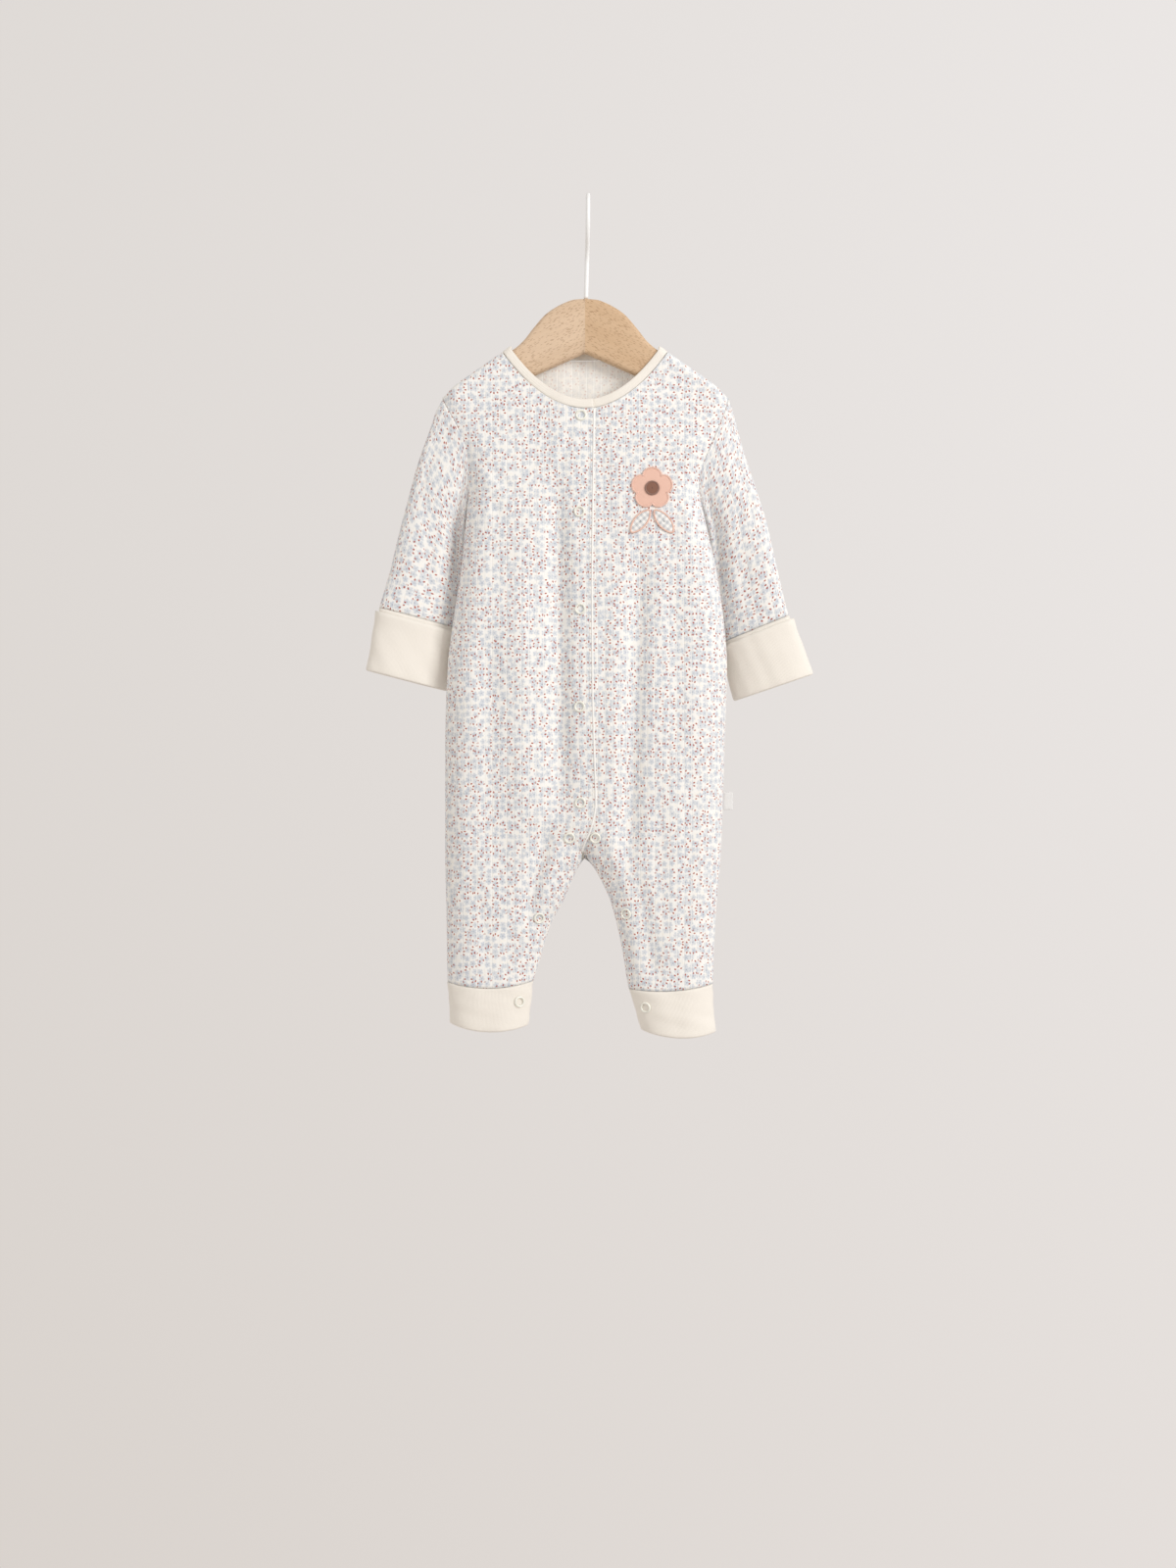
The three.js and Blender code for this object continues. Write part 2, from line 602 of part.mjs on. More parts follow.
function sleeveSection(side, along) {
  const columns = ["outX", "outY", "outDrop", "inX", "inY", "inDrop", "half"];
  return Object.fromEntries(columns.map((name) => [name, track(SLEEVES[side], name, "along")(along)]));
}

// The armhole's edge with its space, at an angle from the shoulder tip
function armholeRing(side, angle) {
  const drop = mix(ringTop, ringEnd, (1 - Math.cos(angle)) / 2);
  const space = mix(SEAM, UNDERARM.space, smooth((drop - UNDERARM.from) / (ringEnd - UNDERARM.from)));
  const point = armholeEdge(angle <= Math.PI ? "front" : "back", side, drop, space);
  if (Math.abs(Math.sin(angle)) < 1e-6) {
    point.setY(0);
    if (point.cut) point.cut.setY(0).normalize();
  }
  return point;
}

function sleevePoint(side, angle, along) {
  const first = armholeRing(side, angle);
  if (along === 0) return first;
  const point = oval(sleeveSection(side, along), angle);
  const start = oval(sleeveSection(side, 0), angle);
  point.addScaledVector(first.sub(start), 1 - smooth(along / SLEEVE_JOIN));
  const off = (angle - SLEEVE_FOLD.angle) / SLEEVE_FOLD.width;
  point.y += SLEEVE_FOLD.depth * Math.exp(-off * off) * Math.sin(Math.PI * along) ** 2;
  return point;
}

// Moves a ring outward by a distance, square to the ring and to the way down
function offsetRing(ring, down, distance) {
  return ring.map((point, i) => {
    const next = ring[(i + 1) % ring.length];
    const before = ring[(i + ring.length - 1) % ring.length];
    const tangent = next.clone().sub(before);
    return point.clone().addScaledVector(tangent.cross(down).normalize(), distance);
  });
}

// The line of a doubled band: down one layer, round the fold and up the other
function bandLine(long, first, second, secondTop) {
  const bend = Math.abs(second - first) / 2;
  const middle = (first + second) / 2;
  const way = Math.sign(second - first);
  const line = [0, 0.5].map((t) => ({ at: t * (long - bend), off: first }));
  for (const turn of [0, 0.33, 0.67, 1]) {
    const angle = Math.PI * turn;
    line.push({ at: long - bend + bend * Math.sin(angle), off: middle - way * bend * Math.cos(angle) });
  }
  for (const t of [0.5, 0]) line.push({ at: mix(secondTop, long - bend, t), off: second });
  return line;
}

function bandSheet(sides, line, ringAt, down) {
  const rings = line.map(({ at, off }) => offsetRing(ringAt(at), down, off));
  return grid(sides, rings.length, (i, j) => rings[j][i], true);
}

for (const side of ["right", "left"]) {
  const sheet = grid(SLEEVE_ANGLES.length, SLEEVE_ROWS.length, (i, j) => (
    sleevePoint(side, SLEEVE_ANGLES[i], SLEEVE_ROWS[j])
  ), true);
  add(`sleeve_${side}`, thicken(sheet, CLOTH), "print");

  const top = sleeveSection(side, 1);
  const end = SLEEVE_CUFFS[side];
  const centre = (section) => oval(section, 0).add(oval(section, Math.PI)).multiplyScalar(0.5);
  const down = centre(end).sub(centre(top));
  const long = down.length();
  down.normalize();
  const ringAt = (at) => SLEEVE_ANGLES.map((turn) => {
    const angle = outward[side] * turn;
    return oval(top, angle).lerp(oval(end, angle), at / long).addScaledVector(down, SEAM);
  });
  const line = bandLine(long, 0, CUFF_LAYERS, CUFF_EDGE);
  add(`sleeve_cuff_${side}`, thicken(bandSheet(SLEEVE_ANGLES.length, line, ringAt, down), CLOTH), "band");
}

// Leg cuffs, doubled bands that go on from the legs

const LEG_SIDES = 24;

for (const side of ["right", "left"]) {
  const long = LEGS[side].endOuter - LEGS[side].hemOuter;
  const ringAt = (at) => Array.from({ length: LEG_SIDES }, (_, i) => {
    const angle = ringAngle(i, LEG_SIDES);
    const c = Math.cos(angle);
    const drop = mix(legDrop(side, "hem", c) + SEAM, legDrop(side, "end", c), at / long);
    const x = mix(sideX[side](drop), inseamX[side](drop), (c + 1) / 2);
    if (Math.abs(c) > 0.9999) return vector(x, 0, drop);
    return outward[side] * Math.sin(angle) < 0 ? frontPoint(side, x, drop) : backPoint(x, drop);
  });
  const line = bandLine(long, -CUFF_LAYERS, 0, 0);
  const sheet = bandSheet(LEG_SIDES, line, ringAt, new THREE.Vector3(0, 0, -1));
  add(`leg_cuff_${side}`, thicken(sheet, CLOTH), "band");
}

// Snaps

function snapRing() {
  const { radius, hole, high, sides } = SNAP;
  const profile = [
    new THREE.Vector2(hole, 0),
    new THREE.Vector2(radius, 0),
    new THREE.Vector2((radius + hole) / 2, high),
    new THREE.Vector2(hole + 0.3, high * 0.7),
    new THREE.Vector2(hole, 0),
  ];
  return new THREE.LatheGeometry(profile, sides);
}

SNAPS.forEach(({ front, x, drop }, i) => {
  const snap = add(`snap_${String(i + 1).padStart(2, "0")}`, snapRing(), "snap");
  const normal = frontNormal(front, x, drop);
  snap.position.copy(frontPoint(front, x, drop)).addScaledVector(normal, CLOTH / 2 + SEAM);
  snap.quaternion.setFromUnitVectors(new THREE.Vector3(0, 1, 0), normal);
});

// Sewn-on flower

// Lies on the left front, one layer up for each piece beneath it
function onLeftFront(x, drop, layer) {
  const lift = CLOTH / 2 + SEAM + TRIM / 2 + layer * (TRIM + SEAM);
  return frontPoint("left", x, drop).addScaledVector(frontNormal("left", x, drop), lift);
}

const flowerOutline = (angle) => {
  const petal = Math.abs(Math.cos((FLOWER.petals * angle) / 2)) ** 0.5;
  return FLOWER.radius * mix(FLOWER.waist, 1, petal);
};
add("applique_flower", thicken(disc(40, 3, (r, angle) => onLeftFront(
  FLOWER.x + r * flowerOutline(angle) * Math.sin(angle),
  FLOWER.drop - r * flowerOutline(angle) * Math.cos(angle),
  0,
)), TRIM), "petal");
add("applique_centre", thicken(disc(16, 2, (r, angle) => onLeftFront(
  FLOWER_CENTRE.x + r * FLOWER_CENTRE.radius * Math.sin(angle),
  FLOWER_CENTRE.drop - r * FLOWER_CENTRE.radius * Math.cos(angle),
  1,
)), TRIM), "middle");
LEAVES.forEach((leaf, i) => {
  const sheet = disc(20, 2, (r, angle) => {
    const along = (leaf.long / 2) * r * Math.cos(angle);
    const across = (leaf.wide / 2) * r * Math.sin(angle) * Math.sqrt(Math.abs(Math.sin(angle)));
    const x = leaf.x + across * Math.cos(leaf.turn) + along * Math.sin(leaf.turn);
    const drop = leaf.drop + across * Math.sin(leaf.turn) - along * Math.cos(leaf.turn);
    return onLeftFront(x, drop, 0);
  });
  add(`applique_leaf_${i + 1}`, thicken(sheet, TRIM), "leaf");
});

// Tab in the side seam

const label = add("side_label", new THREE.BoxGeometry(LABEL.out, TRIM, LABEL.high), "band");
const labelSide = sideX.left(LABEL.drop + LABEL.high / 2) + CLOTH / 2 + SEAM + LABEL.apart;
label.position.set(labelSide + LABEL.out / 2, LABEL.y, -LABEL.drop - LABEL.high / 2);

// Hanger

// Drop of the arm's top edge, just under the cloth of the shoulder
const armTop = (out) => (
  SHOULDER.drop + SHOULDER.slope * (out - SHOULDER.out) + (ARM.clear + CLOTH / 2) / SHOULDER_LEAN
);
const armUnder = (out) => WOOD_UNDER.drop + WOOD_UNDER.slope * out;

function woodHalf(side) {
  const sign = outward[side];
  const shape = new THREE.Shape();
  shape.moveTo(sign * WOOD_TOP[0].out, -WOOD_TOP[0].drop);
  for (const { out, drop } of WOOD_TOP.slice(1)) shape.lineTo(sign * out, -drop);
  const { notchOut, topOut, tipOut, bottomOut } = WOOD_TIP;
  shape.lineTo(sign * notchOut, -armTop(notchOut));
  shape.lineTo(sign * topOut, -armTop(topOut));
  shape.quadraticCurveTo(sign * tipOut, -armTop(tipOut - 1), sign * tipOut, -armTop(tipOut) - 8);
  shape.quadraticCurveTo(sign * tipOut, -armUnder(bottomOut), sign * bottomOut, -armUnder(bottomOut));
  shape.lineTo(sign * WOOD_TOP[0].out, -armUnder(WOOD_TOP[0].out));
  shape.closePath();
  return new THREE.ExtrudeGeometry(shape, {
    depth: ARM.thick - 2 * ARM.edge,
    bevelThickness: ARM.edge,
    bevelSize: ARM.edge,
    bevelOffset: -ARM.edge,
    bevelSegments: 3,
    curveSegments: 4,
  });
}

for (const side of ["right", "left"]) {
  const half = add(`hanger_${side}`, woodHalf(side), "wood");
  half.rotation.x = Math.PI / 2;
  half.position.set(MIDDLE, ARM.thick / 2 - ARM.edge, 0);
}

// From the tip behind the rail, over it, down its front and back in to the straight shank
function hookLine() {
  const radius = HOOK.inner + HOOK.wire / 2;
  const points = [];
  const turns = 22;
  for (let i = 0; i <= turns; i += 1) {
    const angle = mix(HOOK.back, HOOK.turn, i / turns);
    points.push(vector(0, radius * Math.cos(angle), HOOK.inner - radius * Math.sin(angle)));
  }
  const last = points[points.length - 1];
  const leave = new THREE.Vector3(0, -Math.sin(HOOK.turn), Math.cos(HOOK.turn));
  const bend = new THREE.CubicBezierCurve3(
    last,
    last.clone().addScaledVector(leave, HOOK_BEND.leave),
    vector(0, 0, HOOK.straightDrop - HOOK_BEND.enter),
    vector(0, 0, HOOK.straightDrop),
  );
  points.push(...bend.getPoints(8).slice(1));
  points.push(vector(0, 0, HOOK.end));
  const reach = HOOK.end - HOOK_LEAN.from;
  for (const point of points) point.x = (HOOK_LEAN.x * clamp(-point.z - HOOK_LEAN.from, 0, reach)) / reach;
  return new THREE.CatmullRomCurve3(points, false, "centripetal");
}

const wireSection = new THREE.Shape();
wireSection.absarc(0, 0, HOOK.wire / 2, 0, 2 * Math.PI);
add("hook", new THREE.ExtrudeGeometry(wireSection, {
  steps: 38,
  extrudePath: hookLine(),
  curveSegments: 4,
}), "wire");

export default suit;
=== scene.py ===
"""A baby's footless sleepsuit on a child's wooden hanger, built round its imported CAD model.

Shapes are worked out in millimetres and drops, a drop being a distance down from the origin,
and are put into meshes in metres. Right and left are the wearer's.
"""

import functools

import bpy
import numpy as np
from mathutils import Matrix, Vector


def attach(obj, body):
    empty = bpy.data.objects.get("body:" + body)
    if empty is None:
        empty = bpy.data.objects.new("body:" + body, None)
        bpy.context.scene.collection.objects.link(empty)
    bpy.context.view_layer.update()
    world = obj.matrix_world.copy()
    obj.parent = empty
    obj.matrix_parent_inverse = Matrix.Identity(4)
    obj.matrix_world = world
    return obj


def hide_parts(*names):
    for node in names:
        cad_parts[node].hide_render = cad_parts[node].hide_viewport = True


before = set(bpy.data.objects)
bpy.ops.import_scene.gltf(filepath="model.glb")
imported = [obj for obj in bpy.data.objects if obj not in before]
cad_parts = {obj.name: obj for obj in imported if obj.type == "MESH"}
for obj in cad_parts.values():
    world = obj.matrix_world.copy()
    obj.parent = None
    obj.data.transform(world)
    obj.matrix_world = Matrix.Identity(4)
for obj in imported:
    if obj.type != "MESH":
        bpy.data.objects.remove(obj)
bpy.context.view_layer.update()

bl_info = {
    "name": "Baby sleepsuit on a hanger",
    "version": (1, 0, 0),
    "blender": (4, 5, 0),
    "location": "View3D > Sidebar > Sleepsuit",
    "description": "Makes a printed jersey sleepsuit, its trimmings and its hanger",
    "category": "Add Mesh",
}

MM = 0.001

# Walls and spaces
SEAM = 0.3
CLOTH = 1.2
LAP = 1.05
CUFF_LAYERS = 2.1
CUFF_EDGE = 3
TRIM = 0.8
MIDDLE = -2.4
CROTCH_DROP = 538
HEM_DROP = 642
OUTWARD = {"right": -1, "left": 1}

# Neck, shoulders and armholes
NECK = {"half": 60, "drop": 125, "sag": 41, "band_wide": 7.6, "band_drop": 2.4, "band_sag": 5.4, "band": 7.5}
SHOULDER_OUT = NECK["half"] + NECK["band_wide"]
SHOULDER_DROP = NECK["drop"] + NECK["band_drop"]
SHOULDER_SLOPE = 0.696
SHOULDER_LEAN = 1 / np.hypot(1, SHOULDER_SLOPE)
ARM_FLAT = 2
ARM_ROUND = 5.1
FILL_OUT = 70
ARMHOLE = {"top": 162, "bottom": 248, "half": 8, "across": 0.967, "down": 0.253, "ease": 14}


def table(columns, *rows):
    """Named columns of a table given by its rows."""
    return dict(zip(columns.split(), np.array(rows, float).T, strict=True))


SIDES = table(
    "drop right left round",
    (162, -120, 116, 12), (174, -114, 112, 14), (184, -108, 108, 15), (203, -100, 100, 16),
    (223, -97, 92, 18), (235, -97, 90, 18), (263, -99, 95, 20), (303, -103, 104, 22),
    (343, -109, 110, 25), (383, -114, 113, 28), (447, -116, 111, 30), (535, -116, 108, 30),
    (583, -115, 104, 28), (642, -114, 101.5, 26), (660, -112.5, 102, 25), (690, -112, 104.5, 25),
)
DEPTHS = table(
    "drop front back",
    (125, 9, 9), (170, 12, 10), (230, 16, 11), (320, 20, 12), (430, 23, 16), (500, 22, 18),
    (560, 19, 17), (642, 16, 14), (690, 16, 14),
)
INSEAMS = table(
    "drop right left",
    (538, -2.4, -2.4), (546, -8, 4.5), (559, -14, 12), (575, -21, 19), (591, -30, 23.5),
    (607, -35.5, 27), (623, -40, 30), (642, -45.5, 33), (660, -47.5, 38), (690, -50.5, 47),
)
CROTCH_ROUND = 26
PLACKET = table(
    "drop right left",
    (174, 4.8, -16), (239, 4, -16), (319, 3.2, -16), (399, 3.6, -16), (447, 4.8, -16),
    (495, 6.2, -14), (512, 3.2, -10), (521, 0, -7), (530, -4, -5), (538, -5.8, -2.4),
)
LAP_RAMP = {"right": (-36, -18), "left": (22, 6)}

# Long folds, one row each: where the line starts and ends, its half width and its depth
FOLDS = {
    "front": (
        (-25, 205, -22, 515, 8, 4.5), (43, 262, 31, 585, 9, 5.5), (-80, 330, -80, 575, 10, 2.5),
        (-31, 505, -52, 600, 7, 4.5), (38, 545, 56, 650, 8, 3), (-54, 250, -52, 540, 12, -2),
    ),
    "back": (
        (-60, 190, -52, 540, 10, 4), (10, 180, 4, 500, 11, 3.5), (58, 210, 62, 600, 10, 4.5),
        (-84, 400, -76, 630, 9, 2.5),
    ),
}

# Shares of their length over which folds, creases and a sleeve's ripples are eased in and out
FOLD_ENDS = 0.25
CREASE_ENDS = 0.3
SLEEVE_FADE = (0.12, 0.06)

# Soft creases laid over the folds, in the same columns
CREASES = {
    "front": (
        (-92, 208, -58, 246, 4, 1.1), (-90, 230, -64, 275, 5, 0.9), (86, 205, 62, 232, 4, 1),
        (84, 226, 60, 300, 5, 1.2), (-12, 182, -24, 232, 4, 0.8), (10, 196, 20, 300, 6, 0.9),
        (-46, 300, -40, 420, 6, 0.9), (70, 300, 74, 470, 7, 1.2), (14, 330, 10, 470, 5, 0.8),
        (-96, 420, -92, 600, 6, 0.9), (-64, 430, -70, 590, 6, 0.8), (84, 440, 80, 630, 7, 1.1),
        (-14, 520, -30, 566, 4, 1), (8, 520, 30, 580, 4, 1.1), (56, 470, 62, 620, 6, 0.9),
        (-88, 560, -80, 636, 5, 0.9), (-25, 225, -23, 570, 12, 3.4), (-62, 590, -66, 640, 5, 0.8),
        (78, 570, 74, 640, 5, 0.8),
    ),
    "back": (
        (-92, 208, -56, 260, 5, 1.2), (86, 205, 56, 262, 5, 1.2), (-30, 200, -36, 420, 7, 1),
        (32, 240, 34, 470, 7, 1.1), (-16, 480, -40, 560, 5, 1.2), (14, 480, 40, 570, 5, 1.2),
        (84, 400, 80, 630, 7, 1), (-60, 560, -64, 640, 6, 0.9), (60, 580, 66, 640, 6, 0.9),
    ),
}
# Where creases and ripples fade: below the hanger's arm and above the hem
LOOSE = {"from": 10, "over": 25, "hem": 20}
# Slight ripples: their size, their height and how much of a drop counts, and the seeds of their draws
WAVES = {"body": (34, 0.5, 0.45), "sleeve": (30, 0.6, 0.7)}
WAVE_SEEDS = {"front": 3, "back": 4, "right": 5, "left": 6, "sleeve cuff": 8, "leg cuff": 9}
SNAP_DIP = {"reach": 7, "depth": 0.5}
SHOULDER_TIP = {"reach": 10, "depth": 2.6, "in": 0.57, "down": 0.82}

# Hem of each leg and end of its cuff: drop at the outer edge, drop at the inner, and the sag between
LEGS = {
    "right": {"hem": (640, 639.3, 5.2), "end": (673.6, 675.2, 5.6)},
    "left": {"hem": (641.6, 645.6, 3.5), "end": (680.8, 679.2, 5)},
}

# Sections of the sleeves from shoulder to cuff, and at the cuff's end: fold line, underarm line, half depth
SLEEVE_COLUMNS = "along out_x out_y out_drop in_x in_y in_drop half"
SLEEVES = {
    "right": table(
        SLEEVE_COLUMNS,
        (0, -120.8, 0, 162.6, -99.5, 0, 247.5, 8), (0.2, -132, 0, 197, -101.6, 4.5, 266, 9.5),
        (0.45, -144.5, 0, 240, -101.6, 10, 288, 11), (0.7, -156, -0.5, 284, -103.5, 12.5, 315, 11),
        (1, -169.5, -1, 335, -108.5, 14.5, 351, 10),
    ),
    "left": table(
        SLEEVE_COLUMNS,
        (0, 116.8, 0, 162.6, 94.5, 0, 247.5, 8), (0.2, 124.5, 0, 199.5, 98, 4.5, 264, 9.5),
        (0.45, 138, 0, 243, 101.2, 10, 288, 11), (0.7, 150.3, -0.5, 287, 105, 12.5, 322, 11),
        (1, 163, -1, 341.5, 110, 15.5, 363, 10),
    ),
}
SLEEVE_ENDS = {
    "right": (-178.4, 0, 386, -118.2, 14, 401.5, 11),
    "left": (181.6, 0, 389.2, 122.2, 15, 409.4, 11),
}
UNDERARM_FROM = 215
SLEEVE_JOIN = 0.4
SLEEVE_SPACE = (0.1, 0.4)

# A long fold and the creases: angle and share of the way down at each end, width and depth
SLEEVE_FOLD = {"angle": 2.25, "width": 0.32, "depth": 4}
SLEEVE_CREASES = {
    "right": ((2.2, 0.05, 2.6, 0.8, 0.26, 3), (1.2, 0.35, 1.7, 0.95, 0.25, 1), (0.7, 0.1, 0.9, 0.5, 0.2, 0.7),
              (4.2, 0.2, 4.4, 0.9, 0.3, 1.4), (1.7, 0.02, 2.4, 0.3, 0.2, 1)),
    "left": ((2.2, 0.1, 2.6, 0.8, 0.22, 1.4), (1.3, 0.3, 1.6, 0.9, 0.25, 1.1), (0.8, 0.1, 0.8, 0.6, 0.2, 0.7),
             (4.4, 0.2, 4.1, 0.9, 0.3, 1.3), (1.8, 0.02, 2.3, 0.3, 0.2, 0.9)),
}

# Snaps: the front that each is set in, and its place
SNAP = {"radius": 4.65, "hole": 2.85, "high": 1.3, "sunk": 0.25}
SNAP_SIDES = {"round": 48, "across": 14}
SNAPS = (
    ("right", -5.6, 179.4), ("right", -6.9, 257.9), ("right", -6.1, 337.1), ("right", -6.6, 416.4),
    ("right", -6.1, 494.2), ("right", -15, 522.6), ("left", 6, 522.6), ("right", -39.8, 587.8),
    ("left", 31.2, 584.4), ("right", -56, 656), ("left", 47.2, 660.6),
)

# Tab in the side seam
LABEL = {"out": 7, "high": 14.5, "drop": 485.6, "y": -1.4, "apart": 0.5, "half": 0.32, "wall": 0.3}

# Sewn-on flower and its leaves: x and drop of the middle, length, width and turn
FLOWER = {"x": 52, "drop": 239, "petals": 5, "radius": 17, "waist": 0.7, "centre": 5.4}
LEAVES = ((42.5, 266, 24, 10, 0.7), (61.5, 266, 24, 10, -0.7))

# Patches and their satin stitches, and the gingham's spacing
PATCH = {"sides": 160, "rings": 16, "rise": 0.35, "sewn": 0.98}
CHECKS = 4 * MM
SATIN = {"step": 0.5, "radius": 0.75, "sides": 8}

# The print's layout in cells, and the jersey's stitches in metres
PRINT_RANDOM = 0.6
SPECK = {"from_cells": (37.5, 91.5, 0), "out": 1.3, "slant": 0.4}
STITCH = {"row": 0.9 * MM, "wale": 0.8 * MM}

# Shifts of the cloth coordinates of the back and the sleeves, so that the print differs from piece to piece
SHIFT = {"back": (211, 97), "left": (40, 60), "right": (330, 60)}
HANGER_NODES = ("hanger_right", "hanger_left")

# The placket's row of stitches and its folded edge: a real rolled edge whose pale unprinted colour is a painted
# highlight along the fold
STITCHES = {"inset": 2.2, "from": 176, "to": 536, "long": 2.4, "gap": 0.7, "radius": 0.2}
FOLD_HIGHLIGHT = {"from": 174, "to": 534, "radius": 0.85, "sides": 12, "move": (0.1, -0.4, 0)}

# Flat cuts in millimetres, across and along, and the area where a cut isn't a rectangle
FLAT = {
    "front": ((140, 522), 61000), "back": ((250, 522), 115000), "neck": ((14, 325), None),
    "sleeve": ((175, 179), 18300), "sleeve_cuff": ((142, 104), None), "leg_cuff": ((150, 74), None),
    "petals": ((34, 34), 845), "centre": ((11, 11), 107), "leaf": ((10, 24), 198), "tab": ((14.5, 15), None),
}

# Doubled bands: length of cloth round them, rows of a layer and of its fold, and reach of the flared edge
BAND = {"round": 150, "rows": 18, "bend_rows": 9, "flared": 14}

# Hanger: its top edge out from the middle, its arm's round tip, its straight underside and its board
WOOD_TOP = (
    (0, 83.2), (9, 83.9), (17, 86.6), (25, 90.8), (32, 95.8), (42, 107), (50, 117.2), (56, 122.8),
    (60, 125.6), (72, 134.4),
)
WOOD_TIP = {"notch": 75, "top": 99, "tip": 106.5, "bottom": 97}
WOOD_UNDER = {"drop": 127.6, "slope": 0.445}
WOOD = {"thick": 12, "edge": 4, "clear": 0.5}

# Hook: angles where its round starts and ends, the bend into the shank, its lean and its tapered tip
HOOK = {"wire": 3.5, "inner": 19, "back": -0.35, "turn": 3.75, "straight": 56, "end": 82.9}
HOOK_BEND = {"leave": 11, "enter": 13}
HOOK_LEAN = {"x": -1.6, "from": 20}
HOOK_TIP = (0.55, 0.8, 0.94, 0.99)

# The halves' grain, turned from the level, and each channel's share of the wood's colour: painted light and shade that
# makes the right half paler and bluer and the left half darker
BEECH = {"right": (0.42, (1, 1.045, 1.12)), "left": (-0.42, (0.91, 0.89, 0.855))}

# Lights: their places and sizes in metres, and the place that they face
LIGHTS = {"key": ((1.95, -1.75, 0.7), 1.1), "fill": ((-1.7, -1.5, 0.1), 1.6)}
LIGHTS_FACE = (0, 0, -0.4)
FLOOR = {"radius": 1500, "sides": 64}
SENSOR = 36


# Settings

def colour(name, description, value):
    return bpy.props.FloatVectorProperty(
        name=name, description=description, default=value, size=3, min=0, max=1, subtype="COLOR"
    )


def length(name, description, value):
    return bpy.props.FloatProperty(
        name=name, description=description, default=value, min=0.0001, unit="LENGTH", precision=4
    )


class SleepsuitCloth(bpy.types.PropertyGroup):
    """Sizes and colours of the cloth"""

    wall: length("Wall", "Thickness of the printed jersey", 1.1 * MM)
    band_wall: length("Band wall", "Thickness of the plain jersey of the cuffs", 1.2 * MM)
    binding_wall: length("Binding wall", "Thickness of the folded strip round the neck", 0.5 * MM)
    flower_space: length("Flower spacing", "Space between the printed flowers", 5.5 * MM)
    rib_space: length("Rib spacing", "Space between the needle-out lines of the rib", 6 * MM)
    ground: colour("Ground", "Ground of the print", (0.925, 0.912, 0.877))
    warm_ground: colour("Warm ground", "Ground close to the printed specks", (0.93, 0.895, 0.83))
    flower: colour("Flower", "Petals of the printed flowers", (0.585, 0.63, 0.69))
    flower_middle: colour("Flower middle", "Middles of the printed flowers", (0.33, 0.385, 0.47))
    speck: colour("Speck", "Printed specks", (0.40, 0.06, 0.035))
    inside: colour("Inside", "Wrong side of the print", (0.86, 0.82, 0.76))
    band: colour("Band", "Cuffs and neck binding", (0.90, 0.85, 0.77))
    thread: colour("Thread", "Sewing thread", (0.90, 0.87, 0.81))


class SleepsuitTrim(bpy.types.PropertyGroup):
    """Colours of the trimmings and the hanger"""

    petal: colour("Petal", "Cloth of the sewn-on petals", (0.85, 0.55, 0.44))
    centre: colour("Centre", "Cloth of the flower's centre", (0.26, 0.13, 0.09))
    gingham: colour("Gingham", "Dark checks of the sewn-on leaves", (0.55, 0.56, 0.57))
    snap: colour("Snap", "Enamel of the snap rings", (0.90, 0.89, 0.80))
    tape: colour("Tape", "Tab in the side seam", (0.92, 0.91, 0.89))
    wood: colour("Wood", "Beech of the hanger", (0.75, 0.54, 0.355))
    wire: colour("Wire", "Coating of the hook", (0.93, 0.93, 0.92))


class SleepsuitStage(bpy.types.PropertyGroup):
    """Camera, light and floor"""

    distance: length("Camera distance", "From the camera to the middle of the hanger", 2.8)
    camera_drop: length("Camera drop", "From the rail down to the height of the camera", 0.479)
    frame_height: length("Frame height", "Height that the picture takes in at the hanger", 1.28)
    floor_drop: length("Floor drop", "From the rail down to the floor", 1.5)
    backdrop_left: colour("Backdrop left", "Pale grey at the left", (0.711, 0.673, 0.641))
    backdrop_right: colour("Backdrop right", "Pale grey at the right", (0.857, 0.827, 0.815))
    front_dim: bpy.props.FloatProperty(
        name="Front dimness", description="Strength of the surround behind the camera", default=0.66, min=0, max=1
    )
    key: bpy.props.FloatProperty(
        name="Key light", description="Power of the large soft light", default=48, unit="POWER"
    )
    fill: bpy.props.FloatProperty(
        name="Fill light", description="Power of the second light", default=11, unit="POWER"
    )


# Numbers

def smooth(t):
    """0 to 1 with level ends: 3 t squared less 2 t cubed."""
    s = np.clip(t, 0, 1)
    return s * s * (3 - 2 * s)


def rounded(t, power=0.5):
    """0 at an edge to 1 at a width from it, as a quarter circle when the power is a half."""
    s = np.clip(t, 0, 1)
    return (s * (2 - s)) ** power


def ease_ends(t, start, end):
    """1 between 0 and 1, falling to 0 at each end over a share of the way."""
    return smooth(t / start) * smooth((1 - t) / end)


def mix(a, b, t):
    return a + (b - a) * t


def track(rows, column, by="drop"):
    """A smooth line through a column of a table.

    Cubic pieces join at the rows, each row's slope being the harmonic mean of its neighbours',
    or level where they turn, so the line never runs past its rows.
    """
    at, value = rows[by], rows[column]
    slope = np.diff(value) / np.diff(at)
    before, after = np.r_[slope[0], slope], np.r_[slope, slope[-1]]
    level = before * after <= 0
    tangent = np.where(level, 0, 2 * before * after / np.where(level, 1, before + after))

    def line(where):
        w = np.clip(where, at[0], at[-1])
        i = np.clip(np.searchsorted(at, w) - 1, 0, len(at) - 2)
        span = at[i + 1] - at[i]
        t = (w - at[i]) / span
        start = value[i] * (1 + 2 * t) * (1 - t) ** 2 + tangent[i] * span * t * (1 - t) ** 2
        return start + value[i + 1] * t * t * (3 - 2 * t) - tangent[i + 1] * span * t * t * (1 - t)

    return line


SIDE_X = {side: track(SIDES, side) for side in OUTWARD}
SIDE_ROUND = track(SIDES, "round")
DEPTH = {face: track(DEPTHS, face) for face in ("front", "back")}
INSEAM_X = {side: track(INSEAMS, side) for side in OUTWARD}
PLACKET_X = {side: track(PLACKET, side) for side in OUTWARD}


